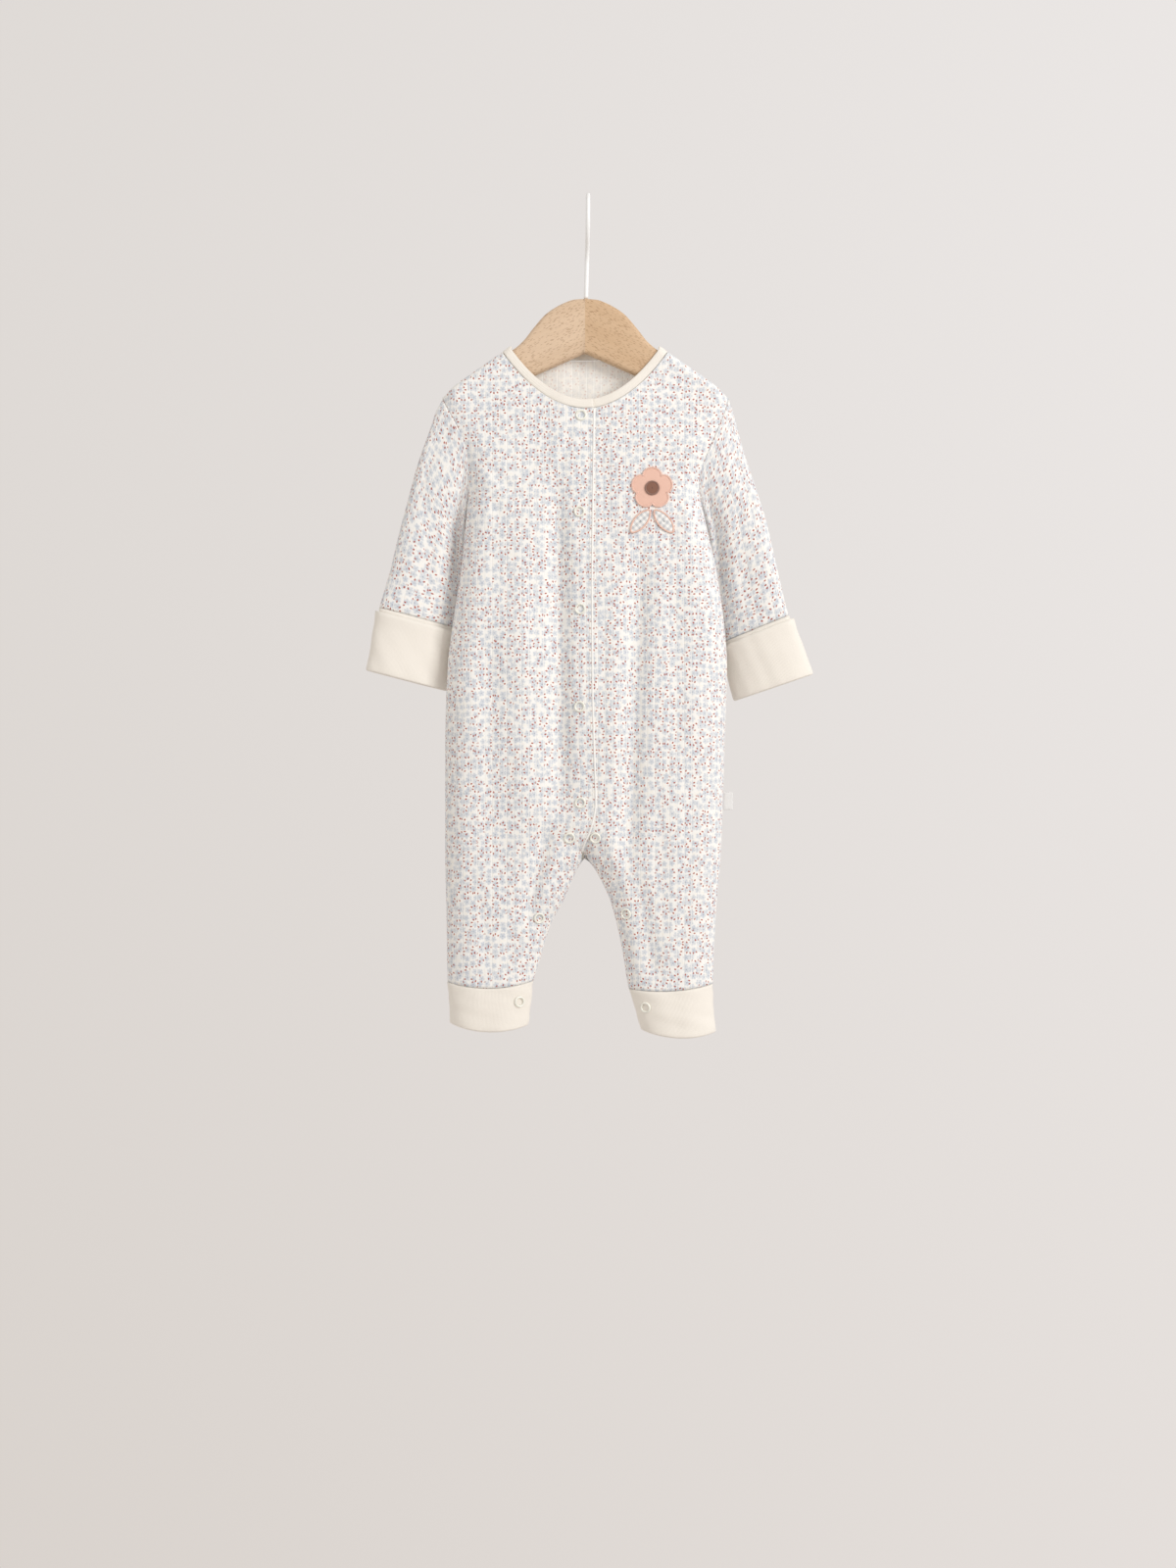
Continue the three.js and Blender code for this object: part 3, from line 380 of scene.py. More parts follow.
def points(x, y, drop):
    """Points of an array from their x, y and drop, in millimetres."""
    x, y, drop = np.broadcast_arrays(x, y, drop)
    return np.stack([x, y, -drop], axis=-1).astype(float)


def unit(vectors):
    return vectors / np.maximum(np.linalg.norm(vectors, axis=-1, keepdims=True), 1e-9)


def run_length(path):
    """Distance along a path at each of its points."""
    return np.r_[0, np.cumsum(np.linalg.norm(np.diff(path, axis=0), axis=1))]


def at_run(where, path, values):
    """Values given at a path's points, read at distances along it."""
    run = run_length(path)
    return np.stack([np.interp(where, run, column) for column in values.T], axis=-1)


def ripple(p, size, seed):
    """A soft wave between about -1 and 1: the mean of eight sines that run in fixed directions."""
    way = np.random.default_rng(seed).normal(size=(8, 4))
    k = unit(way[:, :3]) * (2 * np.pi / size) * (0.7 + 0.6 * np.abs(way[:, 3:]))
    return np.sin(p @ k.T + 7 * way[:, 3]).sum(axis=-1) / 3


# Form of the body

def shoulder_drop(x):
    """Drop of the cloth where it lies over an arm of the hanger: a straight slope out from the neck."""
    return SHOULDER_DROP + SHOULDER_SLOPE * (np.abs(x - MIDDLE) - SHOULDER_OUT)


def neck_x(u, w):
    """Across the neck opening, u from -1 to 1, on its edge at w 0 and where the binding ends at w 1."""
    return MIDDLE + (NECK["half"] + NECK["band_wide"] * w) * u


def neck_drop(face, u, w):
    """Drop of the neck line: a parabola across the opening, deep in front and nearly level behind."""
    sag = (NECK["sag"] if face == "front" else 0) + NECK["band_sag"] * w
    return NECK["drop"] + NECK["band_drop"] * w + sag * (1 - u * u)


def armhole_gap(drop):
    """Half the opening between front and back at the sleeve: a sine's arch, made fuller by its power."""
    t = np.clip((drop - ARMHOLE["top"]) / (ARMHOLE["bottom"] - ARMHOLE["top"]), 0, 1)
    return ARMHOLE["half"] * np.sin(np.pi * t) ** 0.7


def troughs(rows, x, drop):
    """Depth of all the troughs in a table: each a bell across its line, eased in and out along it."""
    total = np.zeros(np.broadcast(x, drop).shape)
    for x0, drop0, x1, drop1, width, deep in rows:
        t = (drop - drop0) / (drop1 - drop0)
        off = (x - mix(x0, x1, t)) / width
        total += deep * np.exp(-off * off) * ease_ends(t, FOLD_ENDS, FOLD_ENDS)
    return total


def snap_dips(face, x, drop):
    """Small dips that the snaps pull in the cloth: a bell round each."""
    total = np.zeros(np.broadcast(x, drop).shape)
    if face == "front":
        for _, snap_x, snap_drop in SNAPS:
            away = np.hypot(x - snap_x, drop - snap_drop) / SNAP_DIP["reach"]
            total += SNAP_DIP["depth"] * np.exp(-away * away)
    return total


def stand_out(face, x, drop, plain=False):
    """Distance of the cloth from the middle plane.

    It rounds over the hanger's arm, fills out below it, closes as a quarter circle at the side
    edges and at the crotch and inseams, and opens at the armhole. Folds are taken off, and
    creases and a slight ripple too unless it is plain.
    """
    right = x < MIDDLE
    below = (drop - shoulder_drop(x)) * SHOULDER_LEAN
    over_arm = np.where(below > 0.01, ARM_FLAT + ARM_ROUND * rounded(below / ARM_ROUND), 0)
    fuller = DEPTH[face](drop) - ARM_FLAT - ARM_ROUND
    inseam = np.where(right, INSEAM_X["right"](drop), INSEAM_X["left"](drop))
    leg = np.where(drop <= CROTCH_DROP, np.hypot(x - MIDDLE, CROTCH_DROP - drop), np.abs(x - inseam))
    crotch = rounded(leg / CROTCH_ROUND)
    opening = smooth((ARMHOLE["bottom"] + ARMHOLE["ease"] - drop) / (2 * ARMHOLE["ease"]))
    side = np.where(right, SIDE_X["right"](drop), SIDE_X["left"](drop))
    edge = rounded(np.abs(x - side) / SIDE_ROUND(drop), mix(0.5, 1, opening))
    full = (over_arm + fuller * smooth(below / FILL_OUT)) * crotch
    folds = troughs(FOLDS[face], x, drop)
    if not plain:
        loose = smooth((below - LOOSE["from"]) / LOOSE["over"]) * smooth((HEM_DROP - drop) / LOOSE["hem"])
        size, high, down = WAVES["body"]
        wave = high * ripple(points(x, 0, drop * down), size, WAVE_SEEDS[face])
        folds = folds + (troughs(CREASES[face], x, drop) + wave) * loose + snap_dips(face, x, drop)
    return SEAM / 2 + mix(armhole_gap(drop), full - folds * crotch, edge)


def lap_shift(side, x):
    """How far a front is moved where the two lap: the right one forward, the left one back."""
    start, end = LAP_RAMP[side]
    return OUTWARD[side] * LAP * smooth((x - start) / (end - start))


def front_point(side, x, drop, plain=False):
    return points(x, -stand_out("front", x, drop, plain) + lap_shift(side, x), drop)


def back_point(x, drop, plain=False):
    return points(x, stand_out("back", x, drop, plain), drop)


def front_normal(side, x, drop):
    """The front's outward normal: across the slopes over a step of 1.5 mm each way."""
    across = front_point(side, x + 1.5, drop) - front_point(side, x - 1.5, drop)
    down = front_point(side, x, drop + 1.5) - front_point(side, x, drop - 1.5)
    return unit(np.cross(down, across))


def on_front(side, x, drop, lift):
    return front_point(side, x, drop) + front_normal(side, x, drop) * np.asarray(lift)[..., None]


def round_tips(place):
    """Rounds the shoulder tips: points move in and down by a bell of their distance from a tip."""
    made = place.copy()
    for side, out in OUTWARD.items():
        tip = SLEEVES[side]["out_x"][0], -SLEEVES[side]["out_drop"][0]
        away = np.hypot(place[..., 0] - tip[0], place[..., 2] - tip[1]) / SHOULDER_TIP["reach"]
        bell = SHOULDER_TIP["depth"] * np.exp(-away * away)
        made[..., 0] -= out * SHOULDER_TIP["in"] * bell
        made[..., 2] -= SHOULDER_TIP["down"] * bell
    return made


def leg_drop(side, end, c):
    """Drop of a hem or a cuff's end, c from -1 at the outer edge to 1 at the inner: a sagging line."""
    outer, inner, sag = LEGS[side][end]
    return mix(outer, inner, (c + 1) / 2) + sag * (1 - c * c)


# Meshes

def grid_faces(rows, columns, wrap=False):
    """Corners of the faces of a grid of points, closed round when wrap is set."""
    count = columns if wrap else columns - 1
    j, i = np.meshgrid(np.arange(rows - 1), np.arange(count), indexing="ij")
    a, b = j * columns + i, j * columns + (i + 1) % columns
    return np.stack([a, b, b + columns, a + columns], axis=-1).reshape(-1, 4)


def grid_parts(uv, wrap=False, flip=False):
    """A grid's faces and their corners' cloth coordinates, turned over when flip is set.

    When wrap is set, the last column of cloth coordinates closes the grid round.
    """
    order = -1 if flip else 1
    corners = np.stack([uv[:-1, :-1], uv[:-1, 1:], uv[1:, 1:], uv[1:, :-1]], axis=2).reshape(-1, 4, 2)
    return grid_faces(uv.shape[0], uv.shape[1] - wrap, wrap)[:, ::order], corners[:, ::order]


def uv_grid(across, along):
    """Cloth coordinates of a grid, from those of its columns and of its rows."""
    return np.stack(np.broadcast_arrays(across, along[:, None]), axis=-1)


def loop_faces(rows, sides):
    """Faces of a tube that closes on itself."""
    return grid_faces(rows + 1, sides, True) % (rows * sides)


def put_mesh(name, place, faces, uv, *materials):
    """A new piece from points in millimetres, its faces and the cloth coordinates of their corners."""
    mesh = bpy.data.meshes.new(name)
    mesh.from_pydata((place.reshape(-1, 3) * MM).tolist(), [], faces if isinstance(faces, list) else faces.tolist())
    if uv is not None:
        mesh.uv_layers.new(name="Cloth").data.foreach_set("uv", (uv * MM).astype(np.float32).ravel())
    for material in materials:
        mesh.materials.append(material)
    mesh.shade_smooth()
    mesh.update()
    piece = bpy.data.objects.new(name, mesh)
    bpy.context.scene.collection.objects.link(piece)
    return piece


def weld(parts, faces, uvs):
    """Joins sheets where their points meet, at a thousandth of a millimetre."""
    start = np.cumsum([0] + [part.reshape(-1, 3).shape[0] for part in parts[:-1]])
    every = np.concatenate([part.reshape(-1, 3) for part in parts])
    _, first, index = np.unique(np.round(every, 3), axis=0, return_index=True, return_inverse=True)
    joined = np.concatenate([index.reshape(-1)[face + s] for face, s in zip(faces, start, strict=True)])
    return every[first], joined, np.concatenate(uvs)


def wall(piece, thickness, inner=0):
    """Gives a sheet its thickness, half to each side, its inner side taking the material after it."""
    made = piece.modifiers.new("Wall", "SOLIDIFY")
    made.thickness = thickness
    made.offset = 0
    made.use_even_offset = False
    made.material_offset = inner


def finish_piece(piece, slot, nodes=(), flat=None, area=None, rests_on=()):
    """Rides a piece on the suit and hides the imported parts that it stands in for."""
    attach(piece, "root")
    if nodes:
        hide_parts(*nodes)
    if flat:
        flat[0] * MM
        flat[1] * MM
        list(rests_on)
        None if area is None else area * MM * MM


# Materials

class Wire:
    """A node's output. Sums, differences, products and quotients add Math nodes."""

    def __init__(self, paint, socket):
        self.paint = paint
        self.socket = socket

    def out(self, name):
        """Another output of the same node."""
        return Wire(self.paint, self.socket.node.outputs[name])

    def __add__(self, other):
        return self.paint.maths("ADD", self, other)

    def __sub__(self, other):
        return self.paint.maths("SUBTRACT", self, other)

    def __rsub__(self, other):
        return self.paint.maths("SUBTRACT", other, self)

    def __mul__(self, other):
        return self.paint.maths("MULTIPLY", self, other)

    def __truediv__(self, other):
        return self.paint.maths("DIVIDE", self, other)

    def __abs__(self):
        return self.paint.maths("ABSOLUTE", self)

    __radd__ = __add__
    __rmul__ = __mul__


class Paint:
    """A tree of shader nodes, with a helper for each kind of step in it."""

    def __init__(self, tree):
        self.tree = tree

    def set(self, node, values):
        for key, value in values.items():
            if isinstance(value, Wire):
                self.tree.links.new(value.socket, node.inputs[key])
            elif hasattr(value, "__len__") and len(value) == 3 and node.inputs[key].type == "RGBA":
                node.inputs[key].default_value = (*value, 1)
            else:
                node.inputs[key].default_value = value

    def add(self, kind, values=None, output=0, **settings):
        """Adds a node: its settings first, then its sockets' values or links."""
        node = self.tree.nodes.new(kind)
        for key, value in settings.items():
            setattr(node, key, value)
        self.set(node, values or {})
        return Wire(self, node.outputs[output])

    def maths(self, operation, *values):
        return self.add("ShaderNodeMath", dict(enumerate(values)), operation=operation)

    def vector(self, operation, *values):
        return self.add("ShaderNodeVectorMath", dict(enumerate(values)), operation=operation)

    def cells(self, vector, randomness, dimensions="2D"):
        """Cells of one unit round points that are moved at random from a square lattice."""
        values = {"Vector": vector, "Scale": 1, "Randomness": randomness}
        return self.add("ShaderNodeTexVoronoi", values, voronoi_dimensions=dimensions)

    def cloth(self):
        return self.add("ShaderNodeUVMap", uv_map="Cloth")

    def place(self):
        return self.add("ShaderNodeTexCoord", output="Object")

    def split(self, vector):
        x = self.add("ShaderNodeSeparateXYZ", {0: vector})
        return x, x.out("Y"), x.out("Z")

    def scaled(self, vector, scale):
        size = scale if hasattr(scale, "__len__") else (scale, scale, scale)
        return self.vector("MULTIPLY", vector, size)

    def noise(self, vector, scale, detail=2, rough=0.5):
        values = {"Vector": vector, "Scale": scale, "Detail": detail, "Roughness": rough}
        return self.add("ShaderNodeTexNoise", values)

    def blend(self, share, a, b):
        return self.add("ShaderNodeMix", {0: share, 6: a, 7: b}, output=2, data_type="RGBA")

    def step(self, value, low, high):
        """0 below one value to 1 above the other, with level ends."""
        return self.add(
            "ShaderNodeMapRange", {0: value, 1: low, 2: high}, interpolation_type="SMOOTHSTEP"
        )


class Coat(Paint):
    """A material's nodes."""

    def __init__(self, name, roughness, **settings):
        self.material = bpy.data.materials.new(name)
        self.material.use_nodes = True
        super().__init__(self.material.node_tree)
        self.surface = self.tree.nodes["Principled BSDF"]
        given = {key.replace("_", " ").title().replace("Ior", "IOR"): value for key, value in settings.items()}
        self.set(self.surface, {"Roughness": roughness, **given})

    def finish(self, colour_in, height=None, distance=None, **more):
        """Feeds the colour, a bump where a height is given, and any other of the surface's sockets."""
        self.set(self.surface, {"Base Color": colour_in, **more})
        if height is not None:
            bump = self.add("ShaderNodeBump", {"Height": height, "Distance": distance, "Strength": 1})
            self.set(self.surface, {"Normal": bump})
        return self.material


def knit_height(paint, cloth):
    """Fine stitches of jersey: two crossing waves and a little noise."""
    across, along, _ = paint.split(cloth)
    rows = paint.maths("SINE", along * (2 * np.pi / STITCH["row"]))
    wales = paint.maths("SINE", across * (2 * np.pi / STITCH["wale"]))
    return rows * 0.1 + wales * 0.15 + paint.noise(cloth, 900, 3) * 0.4


def rib_groove(paint, cloth, space):
    """1 in each needle-out line of the rib, a narrow groove along the cloth, and 0 between."""
    across, _, _ = paint.split(cloth)
    wave = paint.maths("SINE", across / space * np.pi)
    return 1 - paint.step(abs(wave), 0.03, 0.34)


def print_colour(paint, cloth, look):
    """The small print: a soft pale flower of five petals in each cell, and a pair of specks between."""
    cells = paint.scaled(cloth, 1 / look.flower_space)
    flower = paint.cells(cells, PRINT_RANDOM)
    local = paint.vector("SUBTRACT", cells, flower.out("Position"))
    x, y, _ = paint.split(paint.scaled(local, look.flower_space / MM))
    far = paint.maths("SQRT", x * x + y * y)
    turn = paint.maths("ARCTAN2", y, x)
    chance, chance_2, chance_3 = paint.split(flower.out("Color"))
    petal = abs(paint.maths("COSINE", turn * 2.5 + chance * 6.3))
    edge = (petal * 0.7 + 2.15) * (0.92 + chance_2 * 0.2)
    petals = paint.step(edge - far, -0.35, 1.1) * (0.72 + chance_3 * 0.28) * (petal * 0.35 + 0.65)
    middle = paint.step(far, 0.9, 0.3) * (0.25 + chance_2 * 0.55)

    spots = paint.vector("ADD", cells, SPECK["from_cells"])
    pair = paint.cells(spots, PRINT_RANDOM)
    away = paint.vector("SUBTRACT", spots, pair.out("Position"))
    lean, here, tint = paint.split(pair.out("Color"))
    turned = paint.add(
        "ShaderNodeVectorRotate", {"Vector": paint.scaled(away, look.flower_space / MM), "Angle": lean * 6.3},
        rotation_type="Z_AXIS",
    )
    speck_x, speck_y, _ = paint.split(turned)
    out = abs(speck_x) - SPECK["out"]
    slant = speck_y - out * SPECK["slant"]
    inside = 1 - out * out * 2 - slant * slant * 1.3
    specks = paint.step(inside, 0, 0.3) * paint.step(here, 0.22, 0.24) * (0.8 + tint * 0.2)

    warm = paint.blend(paint.step(inside, -2.2, 0), look.ground, look.warm_ground)
    made = paint.blend(petals, warm, look.flower)
    made = paint.blend(middle, made, look.flower_middle)
    return paint.blend(specks, made, look.speck)


def printed_jersey(name, look, inside=False):
    """Rib jersey with its print, which shows faintly on the wrong side; the wrong side also glows faintly with its own
    colour, a painted light that brightens it.
    """
    paint = Coat(name, 0.92, sheen_weight=0.12, sheen_roughness=0.5, specular_ior_level=0.2)
    cloth = paint.cloth()
    groove = rib_groove(paint, cloth, look.rib_space)
    made = print_colour(paint, cloth, look)
    if inside:
        made = paint.blend(0.75, made, look.inside)
    uneven = paint.noise(cloth, 60, 3)
    made = paint.blend(groove * 0.8, made, look.ground)
    made = paint.blend(uneven * 0.1, made, look.inside)
    # On the wrong side the cloth glows faintly with its own colour: painted light that brightens the inside.
    more = {"Emission Color": made, "Emission Strength": 0.1} if inside else {}
    return paint.finish(made, knit_height(paint, cloth) * 0.35 - groove * 0.45, 0.28 * MM, **more)


def plain_jersey(name, shade):
    """Plain jersey, nearly even in colour, with its stitches."""
    paint = Coat(name, 0.9, sheen_weight=0.2, sheen_roughness=0.5, specular_ior_level=0.25)
    cloth = paint.cloth()
    uneven = paint.noise(cloth, 45, 4, 0.6)
    made = paint.blend(uneven * 0.3, shade, np.multiply(shade, 0.9))
    return paint.finish(made, knit_height(paint, cloth) + uneven * 0.6, 0.22 * MM)


def checked_cloth(name, pale, dark, space):
    """Gingham: a line of checks each way, darker where they cross, over a fine plain weave."""
    paint = Coat(name, 0.92, sheen_weight=0.15, specular_ior_level=0.25)
    cloth = paint.cloth()
    across, along, _ = paint.split(cloth)
    lines = [paint.step(paint.maths("SINE", axis / space * np.pi * 2), -0.15, 0.15) for axis in (across, along)]
    made = paint.blend((lines[0] + lines[1]) * 0.5, pale, dark)
    return paint.finish(made, knit_height(paint, cloth), 0.2 * MM)


def thread_material(name, shade):
    """Twisted sewing thread: fine slanting ridges over a soft sheen."""
    paint = Coat(name, 0.6, sheen_weight=0.3, specular_ior_level=0.35)
    values = {"Vector": paint.place(), "Scale": 900, "Distortion": 0.5}
    twist = paint.add("ShaderNodeTexWave", values, output="Fac")
    return paint.finish(paint.blend(twist * 0.35, shade, np.multiply(shade, 0.72)), twist, 0.12 * MM)


def enamel(name, shade):
    """Smooth enamel with a slight unevenness."""
    paint = Coat(name, 0.32, coat_weight=0.35, coat_roughness=0.2)
    cloud = paint.noise(paint.place(), 260, 2)
    made = paint.blend(cloud * 0.35, shade, np.multiply(shade, 0.88))
    return paint.finish(made, cloud, 0.04 * MM, Roughness=cloud * 0.15 + 0.25)


def woven_tape(name, shade):
    """Smooth tape with a fine weave."""
    paint = Coat(name, 0.8, sheen_weight=0.2)
    weave = paint.add("ShaderNodeTexWave", {"Vector": paint.cloth(), "Scale": 700}, output="Fac")
    return paint.finish(paint.blend(weave * 0.3, shade, np.multiply(shade, 0.9)), weave, 0.1 * MM)


def beech(name, shade, turn):
    """Beech: faint bands along the grain, fine lines, and the short dark flecks of its rays."""
    paint = Coat(name, 0.5, specular_ior_level=0.35)
    grain = paint.add("ShaderNodeMapping", {"Vector": paint.place(), "Rotation": (0, turn, 0)})
    bands = paint.noise(paint.scaled(grain, (8, 30, 70)), 1, 4, 0.6)
    lines = paint.noise(paint.scaled(grain, (60, 300, 1400)), 1, 3, 0.7)
    flecks = paint.cells(paint.scaled(grain, (240, 300, 1350)), 1, "3D")
    size = paint.noise(grain, 160, 1)
    fleck = 1 - paint.step(flecks + size * 0.3, 0.38, 0.5)
    made = paint.blend(paint.step(bands, 0.3, 0.75) * 0.8, shade, shade * (0.88, 0.84, 0.79))
    made = paint.blend(paint.step(lines, 0.4, 0.75) * 0.3, made, shade * 0.74)
    made = paint.blend(fleck * 0.7, made, shade * (0.52, 0.42, 0.34))
    return paint.finish(made, lines * 0.5 - fleck * 0.6, 0.08 * MM, Roughness=lines * 0.2 + 0.42)


# Body panels

TOP_SPAN = 61
LEVEL_DROP = 235
HEM_FROM = 590
LEG_COLUMNS = (470, 76)
TOP_COLUMNS = {"to_corner": 26, "to_edge": 34}
TOP_ROWS = np.r_[0, 0.15, 0.4, 0.8, 1.3, 2, 2.9, 4, 5.3, 7, 9, 11:60:2.6]
LEVEL_ROWS = np.linspace(LEVEL_DROP, HEM_DROP, 160)


def columns_at_top(side, edge):
    """Fractions across a panel at its top: close together at the side, and a column at the neck's corner."""
    start = SIDE_X[side](ARMHOLE["top"])
    corner = (MIDDLE + OUTWARD[side] * SHOULDER_OUT - start) / (edge - start)
    out = corner * (1 - np.cos(np.pi / 2 * np.linspace(0, 1, TOP_COLUMNS["to_corner"])))
    near = corner + (1 - corner) * np.array([0.006, 0.014, 0.026, 0.045])
    return np.r_[out, near, np.linspace(corner + 0.075, 1, TOP_COLUMNS["to_edge"])]


def row_drop(top_drop):
    """Drops of all rows in columns that start at top_drop: they follow the top edge, then ease to level."""
    top_drop = np.atleast_1d(top_drop)
    spare = LEVEL_DROP - top_drop - TOP_SPAN
    follow = top_drop + TOP_ROWS[:, None] + spare * smooth((TOP_ROWS[:, None] - 6) / (TOP_SPAN - 6))
    level = np.broadcast_to(LEVEL_ROWS[:, None], (len(LEVEL_ROWS), len(top_drop)))
    return np.concatenate([follow, level])


def panel(face, side, edge_x, place):
    """A grid of points over one side of the front or back, and its cloth coordinates.

    Columns run from the side seam to edge_x, and ease from the spacing at the top to a cosine's
    in the legs. The cloth coordinate across is the length along the row, counted both ways
    from its middle, where it equals x.
    """
    top_edge = float(edge_x(neck_drop("front", 0, 1)))
    top = columns_at_top(side, top_edge)
    start = SIDE_X[side](ARMHOLE["top"])
    x = mix(start, top_edge, top)
    past = np.abs(x - MIDDLE) < SHOULDER_OUT - 1e-6
    top_drop = np.where(past, neck_drop(face, (x - MIDDLE) / SHOULDER_OUT, 1), shoulder_drop(x))
    level = row_drop(top_drop)
    leg = (1 - np.cos(np.pi * np.linspace(0, 1, len(top)))) / 2
    hem = (leg_drop(side, "hem", 2 * leg - 1) - HEM_DROP) * smooth((level - HEM_FROM) / (HEM_DROP - HEM_FROM))
    drop = level + hem
    t = mix(top, leg, smooth((level - LEG_COLUMNS[0]) / LEG_COLUMNS[1]))
    side_drop = drop.copy()
    side_drop[:len(TOP_ROWS)] = row_drop(ARMHOLE["top"])[:len(TOP_ROWS)]
    x = mix(SIDE_X[side](side_drop), edge_x(drop), t)
    steps = np.linalg.norm(np.diff(place(x, drop, True)[..., :2], axis=1), axis=-1)
    along = np.concatenate([np.zeros((len(x), 1)), np.cumsum(steps, axis=1)], axis=1)
    middle = (x[:, 0] + x[:, -1]) / 2
    inward = -OUTWARD[side]
    at = [np.interp(inward * m, inward * row, run) for m, row, run in zip(middle, x, along, strict=True)]
    across = middle[:, None] + inward * (along - np.array(at)[:, None])
    return place(x, drop), np.stack([across, -drop], axis=-1)


def front_edge(side):
    return lambda drop: np.where(drop < CROTCH_DROP + 4, PLACKET_X[side](drop), INSEAM_X[side](drop))


def back_edge(side):
    return lambda drop: np.where(drop <= CROTCH_DROP, MIDDLE, INSEAM_X[side](drop))


# Sleeves and bands

def armhole_ring(side, angle):
    """The armhole's edge beside its panels, at an angle from the shoulder tip, closed at top and bottom."""
    top, bottom = SLEEVES[side]["out_drop"][0], SLEEVES[side]["in_drop"][0]
    drop = mix(top, bottom, (1 - np.cos(angle)) / 2)
    reach = (drop - UNDERARM_FROM) / (bottom - UNDERARM_FROM)
    space = mix(*SLEEVE_SPACE, smooth(reach))
    gap = (SEAM / 2 + armhole_gap(drop)) * smooth(np.abs(np.sin(angle)) * 20)
    x = SIDE_X[side](drop) + OUTWARD[side] * ARMHOLE["across"] * space
    return points(x, np.where(np.sin(angle) >= 0, -gap, gap), drop + ARMHOLE["down"] * space)


def oval(section, angle):
    """A flat oval between a fold line and an underarm line, its front at a quarter turn."""
    out_x, out_y, out_drop, in_x, in_y, in_drop, half = section
    outer, inner = points(out_x, out_y, out_drop), points(in_x, in_y, in_drop)
    reach = (outer - inner) / 2
    along = unit(reach)
    front = unit(np.array([0, -1, 0]) + along * along[..., 1:2])
    half, angle = np.asarray(half, float)[..., None], np.asarray(angle)[..., None]
    return inner + reach * (1 + np.cos(angle)) + front * half * np.sin(angle)


def sleeve_row(side, row):
    """A row of a sleeve's table, as the section that an oval takes."""
    return [SLEEVES[side][name][row] for name in SLEEVE_COLUMNS.split()[1:]]


def ring_normal(ring):
    """Outward normals of rings of points, rows of one grid, that go round once without their last point."""
    across = np.roll(ring, -1, axis=1) - np.roll(ring, 1, axis=1)
    down = np.gradient(ring, axis=0)
    normal = unit(np.cross(across, down))
    out = ring - ring.mean(axis=1, keepdims=True)
    return normal * np.sign((normal * out).sum(axis=-1, keepdims=True).sum(axis=1, keepdims=True))


def sleeve_points(side, angle, along):
    """A sleeve: ovals down its length, its start drawn to the armhole, with its folds taken in."""
    section = [track(SLEEVES[side], name, "along")(along)[:, None] for name in SLEEVE_COLUMNS.split()[1:]]
    to_armhole = armhole_ring(side, angle) - oval(sleeve_row(side, 0), angle)
    grid = oval(section, angle[None, :]) + to_armhole[None] * (1 - smooth(along / SLEEVE_JOIN))[:, None, None]
    middle = np.sin(np.pi * along)[:, None]
    off = (np.mod(angle, 2 * np.pi) - SLEEVE_FOLD["angle"]) / SLEEVE_FOLD["width"]
    grid[..., 1] += SLEEVE_FOLD["depth"] * np.exp(-off * off) * middle ** 2
    turn, down = np.mod(angle, 2 * np.pi)[None, :], along[:, None]
    size, high, share = WAVES["sleeve"]
    inward = high * ripple(grid * (1, 1, share), size, WAVE_SEEDS[side])
    for a0, s0, a1, s1, width, deep in SLEEVE_CREASES[side]:
        t = (down - s0) / (s1 - s0)
        away = (turn - mix(a0, a1, t)) / width
        inward = inward + deep * np.exp(-away * away) * ease_ends(t, CREASE_ENDS, CREASE_ENDS)
    return grid - ring_normal(grid) * (inward * ease_ends(down, *SLEEVE_FADE))[..., None]


def band_line(long, first, second, second_top, flare=0):
    """The line of a doubled band: down one layer, round the fold and up the other, its edge flared."""
    bend = abs(second - first) / 2
    way = np.sign(second - first)
    down = np.linspace(0, long - bend, BAND["rows"])
    turn = np.linspace(0, np.pi, BAND["bend_rows"])[1:-1]
    up = np.linspace(long - bend, second_top, BAND["rows"])
    at = np.r_[down, long - bend + bend * np.sin(turn), up]
    lift = flare * smooth((second_top - up) / BAND["flared"] + 1)
    off = np.r_[np.full(BAND["rows"], first), (first + second) / 2 - way * bend * np.cos(turn), second + way * lift]
    return at, off


def band_grid(ring_at, at, off, down, ripple_size, seed):
    """A band: rings down its length, each moved out along its own normal by its row's distance."""
    rings = np.stack([ring_at(a) for a in at])
    tangent = np.roll(rings, -1, axis=1) - np.roll(rings, 1, axis=1)
    normal = unit(np.cross(tangent, down))
    wave = ripple_size * ripple(rings, 24, seed)
    return rings + normal * (off[:, None] + wave)[..., None]


def put_band(look, side, limb, grid, line, rests_on):
    """A doubled band as a piece, its cloth coordinates running round it and along its line."""
    uv = uv_grid(np.linspace(0, BAND["round"], grid.shape[1] + 1), -run_length(np.stack(line, axis=-1)))
    piece = put_mesh(f"{side}_{limb}_cuff", grid, *grid_parts(uv, True), band_material(look))
    wall(piece, look.band_wall)
    finish_piece(piece, "plain_jersey", (f"{limb}_cuff_{side}",), *FLAT[f"{limb}_cuff"], rests_on)


def sleeve_uv(grid):
    """Cloth coordinates of a sleeve, true to length round each ring and down its front, from its front."""
    loop = np.concatenate([grid, grid[:, :1]], axis=1)
    round_way = np.linalg.norm(np.diff(loop, axis=1), axis=-1).sum(axis=1)
    across = (np.linspace(0, 1, grid.shape[1] + 1)[None, :] - 0.75) * round_way[:, None]
    return uv_grid(across, -run_length(grid[:, grid.shape[1] * 3 // 4]))


